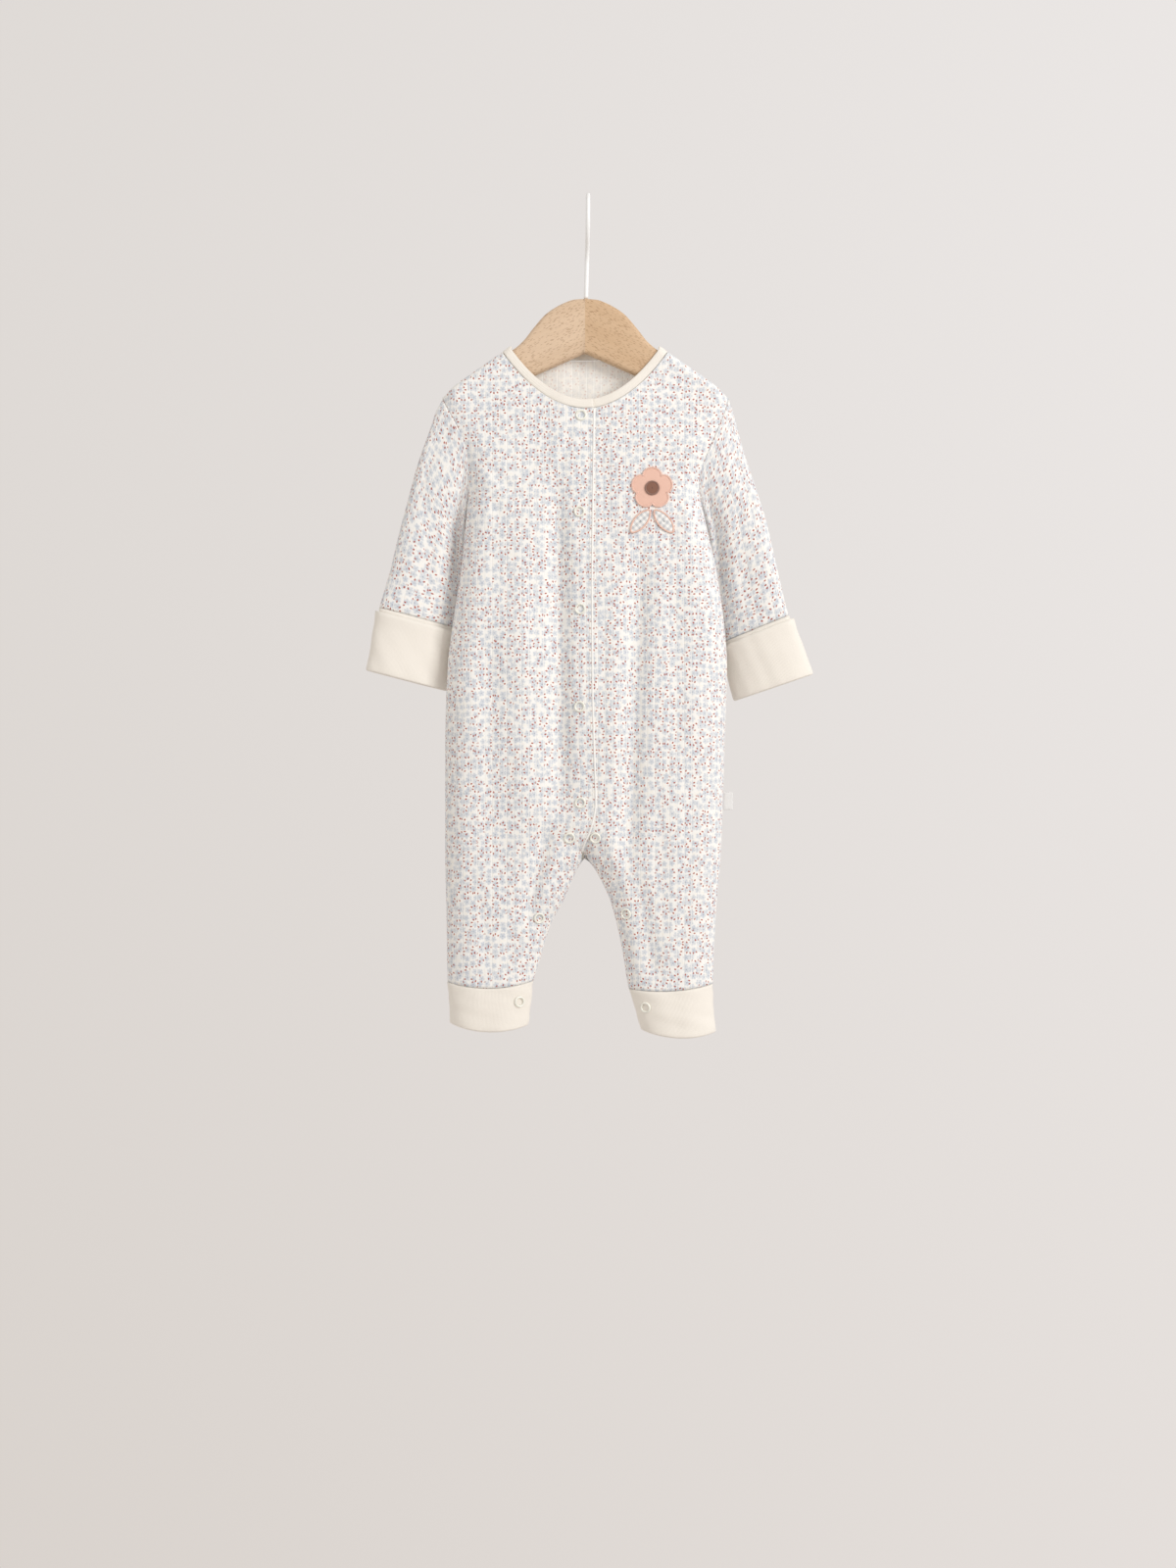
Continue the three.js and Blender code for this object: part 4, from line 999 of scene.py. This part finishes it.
def neck_path():
    """Stations round the neck, from the right front's edge to the left's: (part, u, turn)."""
    ends = {side: (PLACKET_X[side](PLACKET["drop"][0]) - MIDDLE) / SHOULDER_OUT for side in OUTWARD}
    curve = np.sin(np.linspace(0, np.pi / 2, 60))
    over = np.linspace(-1, 1, 16)[1:-1]
    rows = [("right", u, 0) for u in mix(ends["right"], -1, curve)]
    rows += [("over", -1, t) for t in over]
    rows += [("back", u, 0) for u in -np.cos(np.linspace(0, np.pi, 110))]
    rows += [("over", 1, -t) for t in over]
    rows += [("left", u, 0) for u in mix(ends["left"], 1, curve)[::-1]]
    return rows


def neck_line(w):
    """Points of the binding at w across it, on the front, over each arm of the hanger and on the back."""
    made = []
    for part, u, turn in neck_path():
        across = w * (1 - 0.04 * smooth((abs(u) - 0.9) / 0.1))
        x = neck_x(u, across)
        if part == "over":
            low = (neck_drop("front", 1, across) - shoulder_drop(x)) * SHOULDER_LEAN
            angle = np.arccos(1 - low / ARM_ROUND) * turn
            rise = ARM_ROUND * (1 - np.cos(angle)) / SHOULDER_LEAN
            made.append(points(x, np.sign(turn) * ARM_FLAT + ARM_ROUND * np.sin(angle), shoulder_drop(x) + rise))
        elif part == "back":
            made.append(back_point(x, neck_drop("back", u, across)))
        else:
            made.append(front_point(part, x, neck_drop("front", u, across)))
    return np.array(made)


def even_loop(path, step):
    """A closed path in equal steps of about one length, its sharp turns eased by means of near points."""
    loop = np.concatenate([path, path[:1]])
    long = run_length(loop)[-1]
    even = at_run(np.linspace(0, long, round(long / step), endpoint=False), loop, loop)
    for _ in range(3):
        even = (np.roll(even, 1, axis=0) + 2 * even + np.roll(even, -1, axis=0)) / 4
    return even


def tube(path, radius, sides, up=(1, 0, 0), closed=False):
    """Rings of a round tube along a path: circles square to it, turned from one fixed direction."""
    if closed:
        along = unit(np.roll(path, -1, axis=0) - np.roll(path, 1, axis=0))
    else:
        along = unit(np.gradient(path, axis=0))
    first = unit(np.cross(along, np.array(up, float)))
    second = np.cross(along, first)
    angle = np.linspace(0, 2 * np.pi, sides, endpoint=False)
    radius = np.broadcast_to(radius, len(path))[:, None, None]
    circle = first[:, None] * np.cos(angle)[None, :, None] + second[:, None] * np.sin(angle)[None, :, None]
    return path[:, None] + circle * radius


def closed_tube(name, rings, material):
    """A tube as a piece, with both ends closed by a point."""
    rows, sides, _ = rings.shape
    ends = np.stack([rings[0].mean(axis=0), rings[-1].mean(axis=0)])
    i = np.arange(sides)
    first = np.stack([np.full(sides, rows * sides), (i + 1) % sides, i], axis=-1)
    base = (rows - 1) * sides
    last = np.stack([np.full(sides, rows * sides + 1), base + i, base + (i + 1) % sides], axis=-1)
    faces = [*grid_faces(rows, sides, True).tolist(), *first.tolist(), *last.tolist()]
    return put_mesh(name, np.concatenate([rings.reshape(-1, 3), ends]), faces, None, material)


# Sewing

def stitches(name, line, normal, long, gap, radius, material):
    """A row of thread stitches, each a short six-sided bead with pointed ends along the line."""
    angle = np.linspace(0, 2 * np.pi, 6, endpoint=False)
    starts = np.arange(gap, run_length(line)[-1] - long, long + gap)
    at = starts[:, None] + long * np.array([0, 0.18, 0.5, 0.82, 1])
    spot = at_run(at, line, line)
    out = unit(at_run(at, line, normal))
    side = unit(np.cross(unit(spot[:, -1:] - spot[:, :1]), out))
    size = radius * np.array([0.25, 0.9, 1, 0.9, 0.25])
    lift = radius * np.array([-0.4, 0.3, 0.5, 0.3, -0.4])
    ring = out[:, :, None] * np.sin(angle)[:, None] + side[:, :, None] * np.cos(angle)[:, None]
    ring = (spot + out * lift[:, None])[:, :, None] + ring * size[:, None, None]
    caps = [[0, 5, 4, 3], [0, 3, 2, 1], [24, 25, 26, 27], [24, 27, 28, 29]]
    bead = np.concatenate([grid_faces(5, 6, True), caps])
    faces = (bead + 30 * np.arange(len(starts))[:, None, None]).reshape(-1, 4)
    finish_piece(put_mesh(name, ring, faces, None, material), "plain_jersey")


# Operators

def shared(name, make, *settings):
    """A material by name, made the first time that it is asked for."""
    return bpy.data.materials.get(name) or make(name, *settings)


def print_materials(look):
    return shared("printed jersey", printed_jersey, look), shared("printed jersey inside", printed_jersey, look, True)


def band_material(look):
    return shared("plain jersey", plain_jersey, look.band)


class SLEEPSUIT_OT_fronts(bpy.types.Operator):
    """Adds the two fronts, the right one lapping over the left"""

    bl_idname = "sleepsuit.fronts"
    bl_label = "Fronts"

    def execute(self, context):
        look = context.scene.sleepsuit_cloth
        for side in OUTWARD:
            grid, uv = panel("front", side, front_edge(side), functools.partial(front_point, side))
            parts = grid_parts(uv, flip=side == "right")
            piece = put_mesh(f"{side}_front", round_tips(grid), *parts, *print_materials(look))
            wall(piece, look.wall, 1)
            finish_piece(piece, "print_jersey", (f"front_{side}",), *FLAT["front"], (f"hanger_{side}",))
        return {"FINISHED"}


class SLEEPSUIT_OT_back(bpy.types.Operator):
    """Adds the back, one piece from the shoulders to the hems"""

    bl_idname = "sleepsuit.back"
    bl_label = "Back"

    def execute(self, context):
        look = context.scene.sleepsuit_cloth
        parts, faces, uvs = [], [], []
        for side in OUTWARD:
            grid, uv = panel("back", side, back_edge(side), back_point)
            face, corners = grid_parts(uv, flip=side == "left")
            parts.append(round_tips(grid))
            faces.append(face)
            uvs.append(corners + SHIFT["back"])
        piece = put_mesh("back_panel", *weld(parts, faces, uvs), *print_materials(look))
        wall(piece, look.wall, 1)
        finish_piece(piece, "print_jersey", ("back",), *FLAT["back"], HANGER_NODES)
        return {"FINISHED"}


class SLEEPSUIT_OT_neck_band(bpy.types.Operator):
    """Adds the binding round the neck"""

    bl_idname = "sleepsuit.neck_band"
    bl_label = "Neck binding"

    def execute(self, context):
        look = context.scene.sleepsuit_cloth
        turn = np.linspace(0, 2 * np.pi, 20, endpoint=False)
        across, high = np.cos(turn), np.sin(turn)
        half = look.binding_wall / MM / 2
        first_w, last_w = half / NECK["band"], 1 - (SEAM + half) / NECK["band"] - 0.01
        w = np.round(mix(first_w, last_w, (1 + np.sign(across) * np.abs(across) ** 0.6) / 2), 6)
        high = 0.6 * np.sign(high) * np.abs(high) ** 0.7
        lines = {key: neck_line(key) for key in np.unique(w)}
        first, end = lines[w.min()], lines[w.max()]
        normal = unit(np.cross(end - first, np.gradient((first + end) / 2, axis=0)))
        rings = np.stack([lines[key] + normal * h for key, h in zip(w, high, strict=True)], axis=1)
        uv = uv_grid(np.linspace(0, FLAT["neck"][0][0], len(turn) + 1), run_length(rings[:, 0]))
        piece = put_mesh("neck_band", rings, *grid_parts(uv, True, True), band_material(look))
        wall(piece, look.binding_wall)
        finish_piece(piece, "plain_jersey", ("neck_binding",), *FLAT["neck"], HANGER_NODES)
        return {"FINISHED"}


class SLEEPSUIT_OT_sleeves(bpy.types.Operator):
    """Adds the two sleeves"""

    bl_idname = "sleepsuit.sleeves"
    bl_label = "Sleeves"

    def execute(self, context):
        look = context.scene.sleepsuit_cloth
        angle = np.linspace(np.pi, 3 * np.pi, 128, endpoint=False)
        along = np.r_[np.linspace(0, 0.1, 9)[:-1], np.linspace(0.1, 1, 78)]
        for side in OUTWARD:
            grid = sleeve_points(side, angle, along)
            faces, corners = grid_parts(sleeve_uv(grid), True, side == "right")
            piece = put_mesh(
                f"{side}_sleeve", round_tips(grid), faces, corners + SHIFT[side], *print_materials(look)
            )
            wall(piece, look.wall, 1)
            finish_piece(
                piece, "print_jersey", (f"sleeve_{side}",), *FLAT["sleeve"], (f"{side}_front", "back_panel")
            )
        return {"FINISHED"}


class SLEEPSUIT_OT_sleeve_cuffs(bpy.types.Operator):
    """Adds the turned-back cuffs of the sleeves"""

    bl_idname = "sleepsuit.sleeve_cuffs"
    bl_label = "Sleeve cuffs"

    def execute(self, context):
        look = context.scene.sleepsuit_cloth
        turn = np.linspace(np.pi, 3 * np.pi, 120, endpoint=False)
        for side in OUTWARD:
            angle = OUTWARD[side] * turn
            from_ring, to_ring = oval(sleeve_row(side, -1), angle), oval(SLEEVE_ENDS[side], angle)
            down = to_ring.mean(axis=0) - from_ring.mean(axis=0)
            long = np.linalg.norm(down)
            down = down / long

            def ring_at(at, start=from_ring, end=to_ring, down=down, long=long):
                return mix(start, end, at / long) + down * SEAM

            line = band_line(long, 0, CUFF_LAYERS, CUFF_EDGE, 1)
            grid = band_grid(ring_at, *line, down, 0.35, WAVE_SEEDS["sleeve cuff"])
            put_band(look, side, "sleeve", grid, line, (f"{side}_sleeve",))
        return {"FINISHED"}


class SLEEPSUIT_OT_leg_cuffs(bpy.types.Operator):
    """Adds the doubled bands at the ends of the legs"""

    bl_idname = "sleepsuit.leg_cuffs"
    bl_label = "Leg cuffs"

    def execute(self, context):
        look = context.scene.sleepsuit_cloth
        angle = np.linspace(0, 2 * np.pi, 144, endpoint=False)
        c = np.cos(angle)
        for side in OUTWARD:
            long = LEGS[side]["end"][0] - LEGS[side]["hem"][0]

            def ring_at(at, side=side, long=long):
                drop = mix(leg_drop(side, "hem", c) + SEAM, leg_drop(side, "end", c), at / long)
                x = mix(SIDE_X[side](drop), INSEAM_X[side](drop), (c + 1) / 2)
                front = OUTWARD[side] * np.sin(angle) < 0
                ring = np.where(front[:, None], front_point(side, x, drop), back_point(x, drop))
                ring[np.abs(c) > 0.9999, 1] = 0
                return ring

            line = band_line(long, -CUFF_LAYERS, 0, 0)
            grid = band_grid(ring_at, *line, np.array([0, 0, -1.0]), 0.3, WAVE_SEEDS["leg cuff"])
            put_band(look, side, "leg", grid, line, (f"{side}_front", "back_panel"))
        return {"FINISHED"}


class SLEEPSUIT_OT_snaps(bpy.types.Operator):
    """Adds the open rings of the snaps"""

    bl_idname = "sleepsuit.snaps"
    bl_label = "Snaps"

    def execute(self, context):
        look = context.scene.sleepsuit_trim
        material = enamel("snap enamel", look.snap)
        sides, across = SNAP_SIDES["round"], SNAP_SIDES["across"]
        turn = np.linspace(0, 2 * np.pi, across, endpoint=False)
        middle, half = (SNAP["radius"] + SNAP["hole"]) / 2, (SNAP["radius"] - SNAP["hole"]) / 2
        radius = middle + half * np.cos(turn)
        high = np.where(np.sin(turn) > 0, SNAP["high"] * 0.9, SNAP["sunk"]) * np.sin(turn)
        angle = np.linspace(0, 2 * np.pi, sides, endpoint=False)[:, None]
        for i, (side, *spot) in enumerate(SNAPS, 1):
            x, drop = np.array(spot, float)
            out = front_normal(side, x, drop)
            over = unit(np.cross(out, (0, 0, 1.0)))
            ring = over * np.cos(angle) + np.cross(over, out) * np.sin(angle)
            centre = on_front(side, x, drop, CLOTH / 2 + SNAP["sunk"])
            grid = centre + ring[:, None] * radius[None, :, None] + out * high[None, :, None]
            piece = put_mesh(f"snap_ring_{i:02d}", grid, loop_faces(sides, across), None, material)
            finish_piece(piece, "snap", (f"snap_{i:02d}",))
        return {"FINISHED"}


class SLEEPSUIT_OT_flower(bpy.types.Operator):
    """Adds the sewn-on flower, its centre and its leaves"""

    bl_idname = "sleepsuit.flower"
    bl_label = "Sewn-on flower"

    def disc(self, name, centre, reach, layer, material, node, slot, flat, turn=0.0):
        """A patch on the left front: rings from a middle point out to its edge. Returns the sewn edge."""
        sides, rings = PATCH["sides"], PATCH["rings"]
        share = np.linspace(0, 1, rings + 1)[1:]
        lift = CLOTH / 2 + TRIM / 2 + layer * TRIM
        x, drop = (np.r_[at, (at + share[:, None] * way).ravel()] for at, way in zip(centre, reach, strict=True))
        place = on_front("left", x, drop, lift + PATCH["rise"] * (1 - np.r_[0, np.repeat(share, sides)] ** 6))
        i = np.arange(sides)
        hub = np.stack([np.zeros(sides, int), 1 + i, 1 + (i + 1) % sides], axis=-1)
        faces = [*hub.tolist(), *(grid_faces(rings, sides, True) + 1).tolist()]
        turned = np.array([[np.cos(turn), -np.sin(turn)], [np.sin(turn), np.cos(turn)]])
        uv = np.stack([x, -drop], axis=-1) @ turned
        piece = put_mesh(name, place, faces, uv[np.concatenate(faces)], material)
        wall(piece, TRIM * MM)
        finish_piece(piece, slot, (node,), *flat, ("left_front",))
        x, drop = (at + way * PATCH["sewn"] for at, way in zip(centre, reach, strict=True))
        return on_front("left", x, drop, np.full(sides, lift + PATCH["rise"]))

    def leaf_reach(self, angle, long, wide, turn):
        """A pointed leaf's outline from its middle, turned from upright."""
        along = long / 2 * np.cos(angle)
        across = wide / 2 * np.sin(angle) * np.sqrt(np.abs(np.sin(angle)))
        return across * np.cos(turn) + along * np.sin(turn), across * np.sin(turn) - along * np.cos(turn)

    def execute(self, context):
        look = context.scene.sleepsuit_trim
        ground = context.scene.sleepsuit_cloth.ground
        petal = plain_jersey("petal cloth", look.petal)
        brown = plain_jersey("centre cloth", look.centre)
        gingham = checked_cloth("leaf gingham", ground, look.gingham, CHECKS)
        angle = np.linspace(0, 2 * np.pi, PATCH["sides"], endpoint=False)
        radius = FLOWER["radius"] * mix(FLOWER["waist"], 1, np.abs(np.cos(FLOWER["petals"] * angle / 2)) ** 0.5)
        way = np.array([np.sin(angle), -np.cos(angle)])
        at = FLOWER["x"], FLOWER["drop"]
        rows = [
            ("flower_petals", at, radius * way, 0, petal, "applique_flower", "petal_cloth", FLAT["petals"]),
            ("flower_middle", at, FLOWER["centre"] * way, 1, brown, "applique_centre", "centre_cloth", FLAT["centre"]),
        ]
        for i, (x, drop, *leaf) in enumerate(LEAVES, 1):
            name, node, reach = f"flower_leaf_{i}", f"applique_leaf_{i}", self.leaf_reach(angle, *leaf)
            rows.append((name, (x, drop), reach, 0, gingham, node, "leaf_cloth", FLAT["leaf"], leaf[-1]))
        edges = [self.disc(*row) for row in rows]
        shades = look.petal, look.centre, look.petal, look.petal
        for i, (edge, shade) in enumerate(zip(edges, shades, strict=True), 1):
            rings = tube(even_loop(edge, SATIN["step"]), SATIN["radius"], SATIN["sides"], (0, -1, 0), True)
            material = thread_material(f"satin stitch {i}", np.minimum(1, np.multiply(shade, 1.12) + 0.04))
            piece = put_mesh(f"satin_stitch_{i}", rings, loop_faces(*rings.shape[:2]), None, material)
            finish_piece(piece, "centre_cloth" if i == 2 else "petal_cloth")
        return {"FINISHED"}


class SLEEPSUIT_OT_label(bpy.types.Operator):
    """Adds the folded tab in the left side seam"""

    bl_idname = "sleepsuit.label"
    bl_label = "Side tab"

    def execute(self, context):
        look = context.scene.sleepsuit_trim
        start = SIDE_X["left"](LABEL["drop"] + LABEL["high"] / 2) + CLOTH / 2 + SEAM + LABEL["apart"]
        out, half = LABEL["out"], LABEL["half"]
        turn = np.linspace(-np.pi / 2, np.pi / 2, 9)[1:-1]
        flat = np.linspace(0, out - half, 14)
        x = np.r_[flat, out - half + half * np.cos(turn), flat[::-1]]
        y = np.r_[np.full(14, -half), half * np.sin(turn), np.full(14, half)]
        drop = np.linspace(0, LABEL["high"], 16)
        sag = 0.25 * np.sin(drop / 5)
        grid = points(
            start + x[:, None], LABEL["y"] + y[:, None] + sag * x[:, None] / out, LABEL["drop"] + drop[None, :]
        )
        uv = uv_grid(drop, run_length(np.stack([x, y], axis=-1)))
        piece = put_mesh("side_tab", grid, *grid_parts(uv, flip=True), woven_tape("woven tape", look.tape))
        wall(piece, LABEL["wall"] * MM)
        finish_piece(piece, "label_tape", ("side_label",), *FLAT["tab"], ("left_front",))
        return {"FINISHED"}


class SLEEPSUIT_OT_stitching(bpy.types.Operator):
    """Adds the rows of sewing thread and the placket's folded edge, whose pale colour is a painted highlight"""

    bl_idname = "sleepsuit.stitching"
    bl_label = "Stitching"

    def execute(self, context):
        look = context.scene.sleepsuit_cloth
        drop = np.linspace(STITCHES["from"], STITCHES["to"], 300)
        x = PLACKET_X["right"](drop) - STITCHES["inset"]
        line = on_front("right", x, drop, look.wall / MM / 2 + 0.05)
        stitches(
            "placket_stitching", line, front_normal("right", x, drop), STITCHES["long"], STITCHES["gap"],
            STITCHES["radius"], thread_material("sewing thread", look.thread),
        )
        # The folded edge is a tube of real size, coloured pale and unprinted: a painted highlight along the fold.
        drop = np.linspace(FOLD_HIGHLIGHT["from"], FOLD_HIGHLIGHT["to"], 260)
        edge = front_point("right", PLACKET_X["right"](drop), drop) + FOLD_HIGHLIGHT["move"]
        rings = tube(edge, FOLD_HIGHLIGHT["radius"], FOLD_HIGHLIGHT["sides"])
        finish_piece(closed_tube("placket_fold", rings, plain_jersey("placket edge", look.ground)), "plain_jersey")
        return {"FINISHED"}


class SLEEPSUIT_OT_hanger(bpy.types.Operator):
    """Adds the two halves of the wooden hanger"""

    bl_idname = "sleepsuit.hanger"
    bl_label = "Wooden hanger"

    def execute(self, context):
        look = context.scene.sleepsuit_trim
        steps = np.linspace(0, np.pi / 2, 7)
        steps = np.r_[steps, steps[::-1]]
        inset = WOOD["edge"] * (1 - np.sin(steps))
        deep = (WOOD["thick"] / 2 - WOOD["edge"] + WOOD["edge"] * np.cos(steps)) * np.repeat((-1, 1), 7)
        edge = self.outline()
        tangent = unit(np.roll(edge, -1, axis=0) - np.roll(edge, 1, axis=0))
        inward = np.stack([-tangent[:, 1], tangent[:, 0]], axis=-1)
        inward[:, 0] *= np.minimum(1, np.abs(edge[:, 0]) / WOOD["edge"])
        layers = edge + inward * inset[:, None, None]
        rows, sides, _ = layers.shape
        faces = grid_faces(rows, sides, True).tolist()
        faces += [list(range(sides))[::-1], list(range((rows - 1) * sides, rows * sides))]
        for side, (turn, light) in BEECH.items():
            rings = points(MIDDLE + OUTWARD[side] * layers[..., 0], deep[:, None], layers[..., 1])
            turned = [face[::-1] for face in faces] if side == "left" else faces
            # Each half takes the wood's colour scaled by its own shares: painted light and shade, paler on the right
            # half and darker on the left.
            wood = beech(f"beech {side}", np.multiply(light, look.wood), turn)
            piece = put_mesh(f"{side}_arm", rings, turned, None, wood)
            piece.data.set_sharp_from_angle(angle=np.radians(35))
            finish_piece(piece, "wood", (f"hanger_{side}",))
        return {"FINISHED"}

    def outline(self):
        """A half's outline, as distances out from its middle and drops.

        It follows a table's line, a step, an arm, its round tip and the straight underside.
        """
        def arm(x):
            clear = (WOOD["clear"] + CLOTH / 2) / SHOULDER_LEAN
            return SHOULDER_DROP + SHOULDER_SLOPE * (x - SHOULDER_OUT) + clear

        def under(x):
            return WOOD_UNDER["drop"] + WOOD_UNDER["slope"] * x

        def curve(start, towards, end):
            """From a start to an end, both pulled towards a point between."""
            t = np.linspace(0, 1, 12)[1:]
            return mix(mix(start, towards, t), mix(towards, end, t), t)

        top = table("out drop", *WOOD_TOP)
        out = np.linspace(top["out"][0], top["out"][-1], 90)
        notch, last, tip, bottom = (WOOD_TIP[key] for key in ("notch", "top", "tip", "bottom"))
        arm_out = np.linspace(notch, last, 12)
        back_out = np.linspace(bottom, top["out"][0], 60)[1:]
        round_drop = arm(tip) + 8
        return np.stack([
            np.r_[out, arm_out, curve(last, tip, tip), curve(tip, tip, bottom), back_out],
            np.r_[
                track(top, "drop", "out")(out), arm(arm_out), curve(arm(last), arm(tip - 1), round_drop),
                curve(round_drop, under(bottom), under(bottom)), under(back_out),
            ],
        ], axis=-1)


class SLEEPSUIT_OT_hook(bpy.types.Operator):
    """Adds the wire hook"""

    bl_idname = "sleepsuit.hook"
    bl_label = "Hook"

    def execute(self, context):
        look = context.scene.sleepsuit_trim
        radius = HOOK["inner"] + HOOK["wire"] / 2
        angle = np.linspace(HOOK["back"], HOOK["turn"], 90)
        arc = points(0, radius * np.cos(angle), HOOK["inner"] - radius * np.sin(angle))
        leave = np.array([0, -np.sin(HOOK["turn"]), np.cos(HOOK["turn"])])
        enter = points(0, 0, HOOK["straight"])
        ends = arc[-1], arc[-1] + leave * HOOK_BEND["leave"], enter + (0, 0, HOOK_BEND["enter"]), enter
        t = np.linspace(0, 1, 30)[1:, None]
        shares = (1 - t) ** 3, 3 * t * (1 - t) ** 2, 3 * t * t * (1 - t), t ** 3
        bend = sum(end * share for end, share in zip(ends, shares, strict=True))
        shank = points(0, 0, np.linspace(HOOK["straight"], HOOK["end"], 14)[1:])
        path = np.concatenate([arc, bend, shank])
        reach = HOOK["end"] - HOOK_LEAN["from"]
        path[:, 0] = HOOK_LEAN["x"] * np.clip(-path[:, 2] - HOOK_LEAN["from"], 0, reach) / reach
        size = np.full(len(path), HOOK["wire"] / 2)
        size[:len(HOOK_TIP)] *= HOOK_TIP
        piece = closed_tube("wire_hook", tube(path, size, 20), enamel("wire coating", look.wire))
        finish_piece(piece, "hook_wire", ("hook",))
        return {"FINISHED"}


class SLEEPSUIT_OT_stage(bpy.types.Operator):
    """Adds the floor, the light and the camera"""

    bl_idname = "sleepsuit.stage"
    bl_label = "Stage"

    def execute(self, context):
        look = context.scene.sleepsuit_stage
        scene = context.scene
        scene.view_settings.view_transform = "Standard"
        sides = FLOOR["sides"]
        angle = np.linspace(0, 2 * np.pi, sides, endpoint=False)
        place = points(FLOOR["radius"] * np.cos(angle), FLOOR["radius"] * np.sin(angle), look.floor_drop / MM)
        paint = Coat("floor", 0.9)
        cloud = paint.noise(paint.place(), 1.5)
        grey = paint.blend(cloud * 0.1, look.backdrop_left, np.multiply(look.backdrop_left, 0.95))
        put_mesh("floor", place, [list(range(sides))], None, paint.finish(grey))
        self.world(scene, look)
        for key, (spot, size) in LIGHTS.items():
            name, power = f"{key} light", getattr(look, key)
            lamp = bpy.data.lights.new(name, "AREA")
            lamp.energy = power
            lamp.size = size
            light = bpy.data.objects.new(name, lamp)
            light.location = spot
            aim = Vector(LIGHTS_FACE) - Vector(spot)
            light.rotation_euler = aim.to_track_quat("-Z", "Y").to_euler()
            scene.collection.objects.link(light)
        lens = bpy.data.cameras.new("camera")
        lens.sensor_width = SENSOR
        lens.lens = SENSOR * look.distance / look.frame_height
        camera = bpy.data.objects.new("camera", lens)
        camera.location = (0, -look.distance, -look.camera_drop)
        camera.rotation_euler = (np.pi / 2, 0, 0)
        scene.collection.objects.link(camera)
        scene.camera = camera
        return {"FINISHED"}

    def world(self, scene, look):
        """A pale surround fixed in the room: dim in front, warmer low down and brighter to the right."""
        world = bpy.data.worlds.new("studio")
        world.use_nodes = True
        scene.world = world
        paint = Paint(world.node_tree)
        way = paint.add("ShaderNodeTexCoord", output="Generated")
        x, y, z = paint.split(way)
        across = paint.blend(paint.step(x, -0.4, 0.4), look.backdrop_left, look.backdrop_right)
        low = paint.blend(paint.step(z, -0.35, 0.2), (0.93, 0.91, 0.89), (1, 1, 1))
        made = paint.add("ShaderNodeMix", {0: 1.0, 6: across, 7: low}, 2, data_type="RGBA", blend_type="MULTIPLY")
        strength = paint.step(y, -0.9, 0.9) * (1 - look.front_dim) + look.front_dim
        paint.set(paint.tree.nodes["Background"], {"Color": made, "Strength": strength})


class SLEEPSUIT_PT_panel(bpy.types.Panel):
    """Lists the pieces and their sizes and colours"""

    bl_idname = "SLEEPSUIT_PT_panel"
    bl_label = "Sleepsuit"
    bl_space_type = "VIEW_3D"
    bl_region_type = "UI"
    bl_category = "Sleepsuit"

    def draw(self, context):
        for group in (context.scene.sleepsuit_cloth, context.scene.sleepsuit_trim, context.scene.sleepsuit_stage):
            box = self.layout.box()
            for name in group.__annotations__:
                box.prop(group, name)
        for operator in OPERATORS:
            self.layout.operator(operator.bl_idname)


OPERATORS = (
    SLEEPSUIT_OT_stage,
    SLEEPSUIT_OT_hanger,
    SLEEPSUIT_OT_hook,
    SLEEPSUIT_OT_fronts,
    SLEEPSUIT_OT_back,
    SLEEPSUIT_OT_neck_band,
    SLEEPSUIT_OT_sleeves,
    SLEEPSUIT_OT_sleeve_cuffs,
    SLEEPSUIT_OT_leg_cuffs,
    SLEEPSUIT_OT_flower,
    SLEEPSUIT_OT_snaps,
    SLEEPSUIT_OT_label,
    SLEEPSUIT_OT_stitching,
)
GROUPS = {
    "sleepsuit_cloth": SleepsuitCloth,
    "sleepsuit_trim": SleepsuitTrim,
    "sleepsuit_stage": SleepsuitStage,
}


def register():
    for made in (*GROUPS.values(), *OPERATORS, SLEEPSUIT_PT_panel):
        bpy.utils.register_class(made)
    for name, group in GROUPS.items():
        setattr(bpy.types.Scene, name, bpy.props.PointerProperty(type=group))


def unregister():
    for name in GROUPS:
        delattr(bpy.types.Scene, name)
    for made in (SLEEPSUIT_PT_panel, *OPERATORS[::-1], *GROUPS.values()):
        bpy.utils.unregister_class(made)


def main():
    register()
    for operator in OPERATORS:
        group, name = operator.bl_idname.split(".")
        getattr(getattr(bpy.ops, group), name)()


if __name__ == "__main__":
    main()
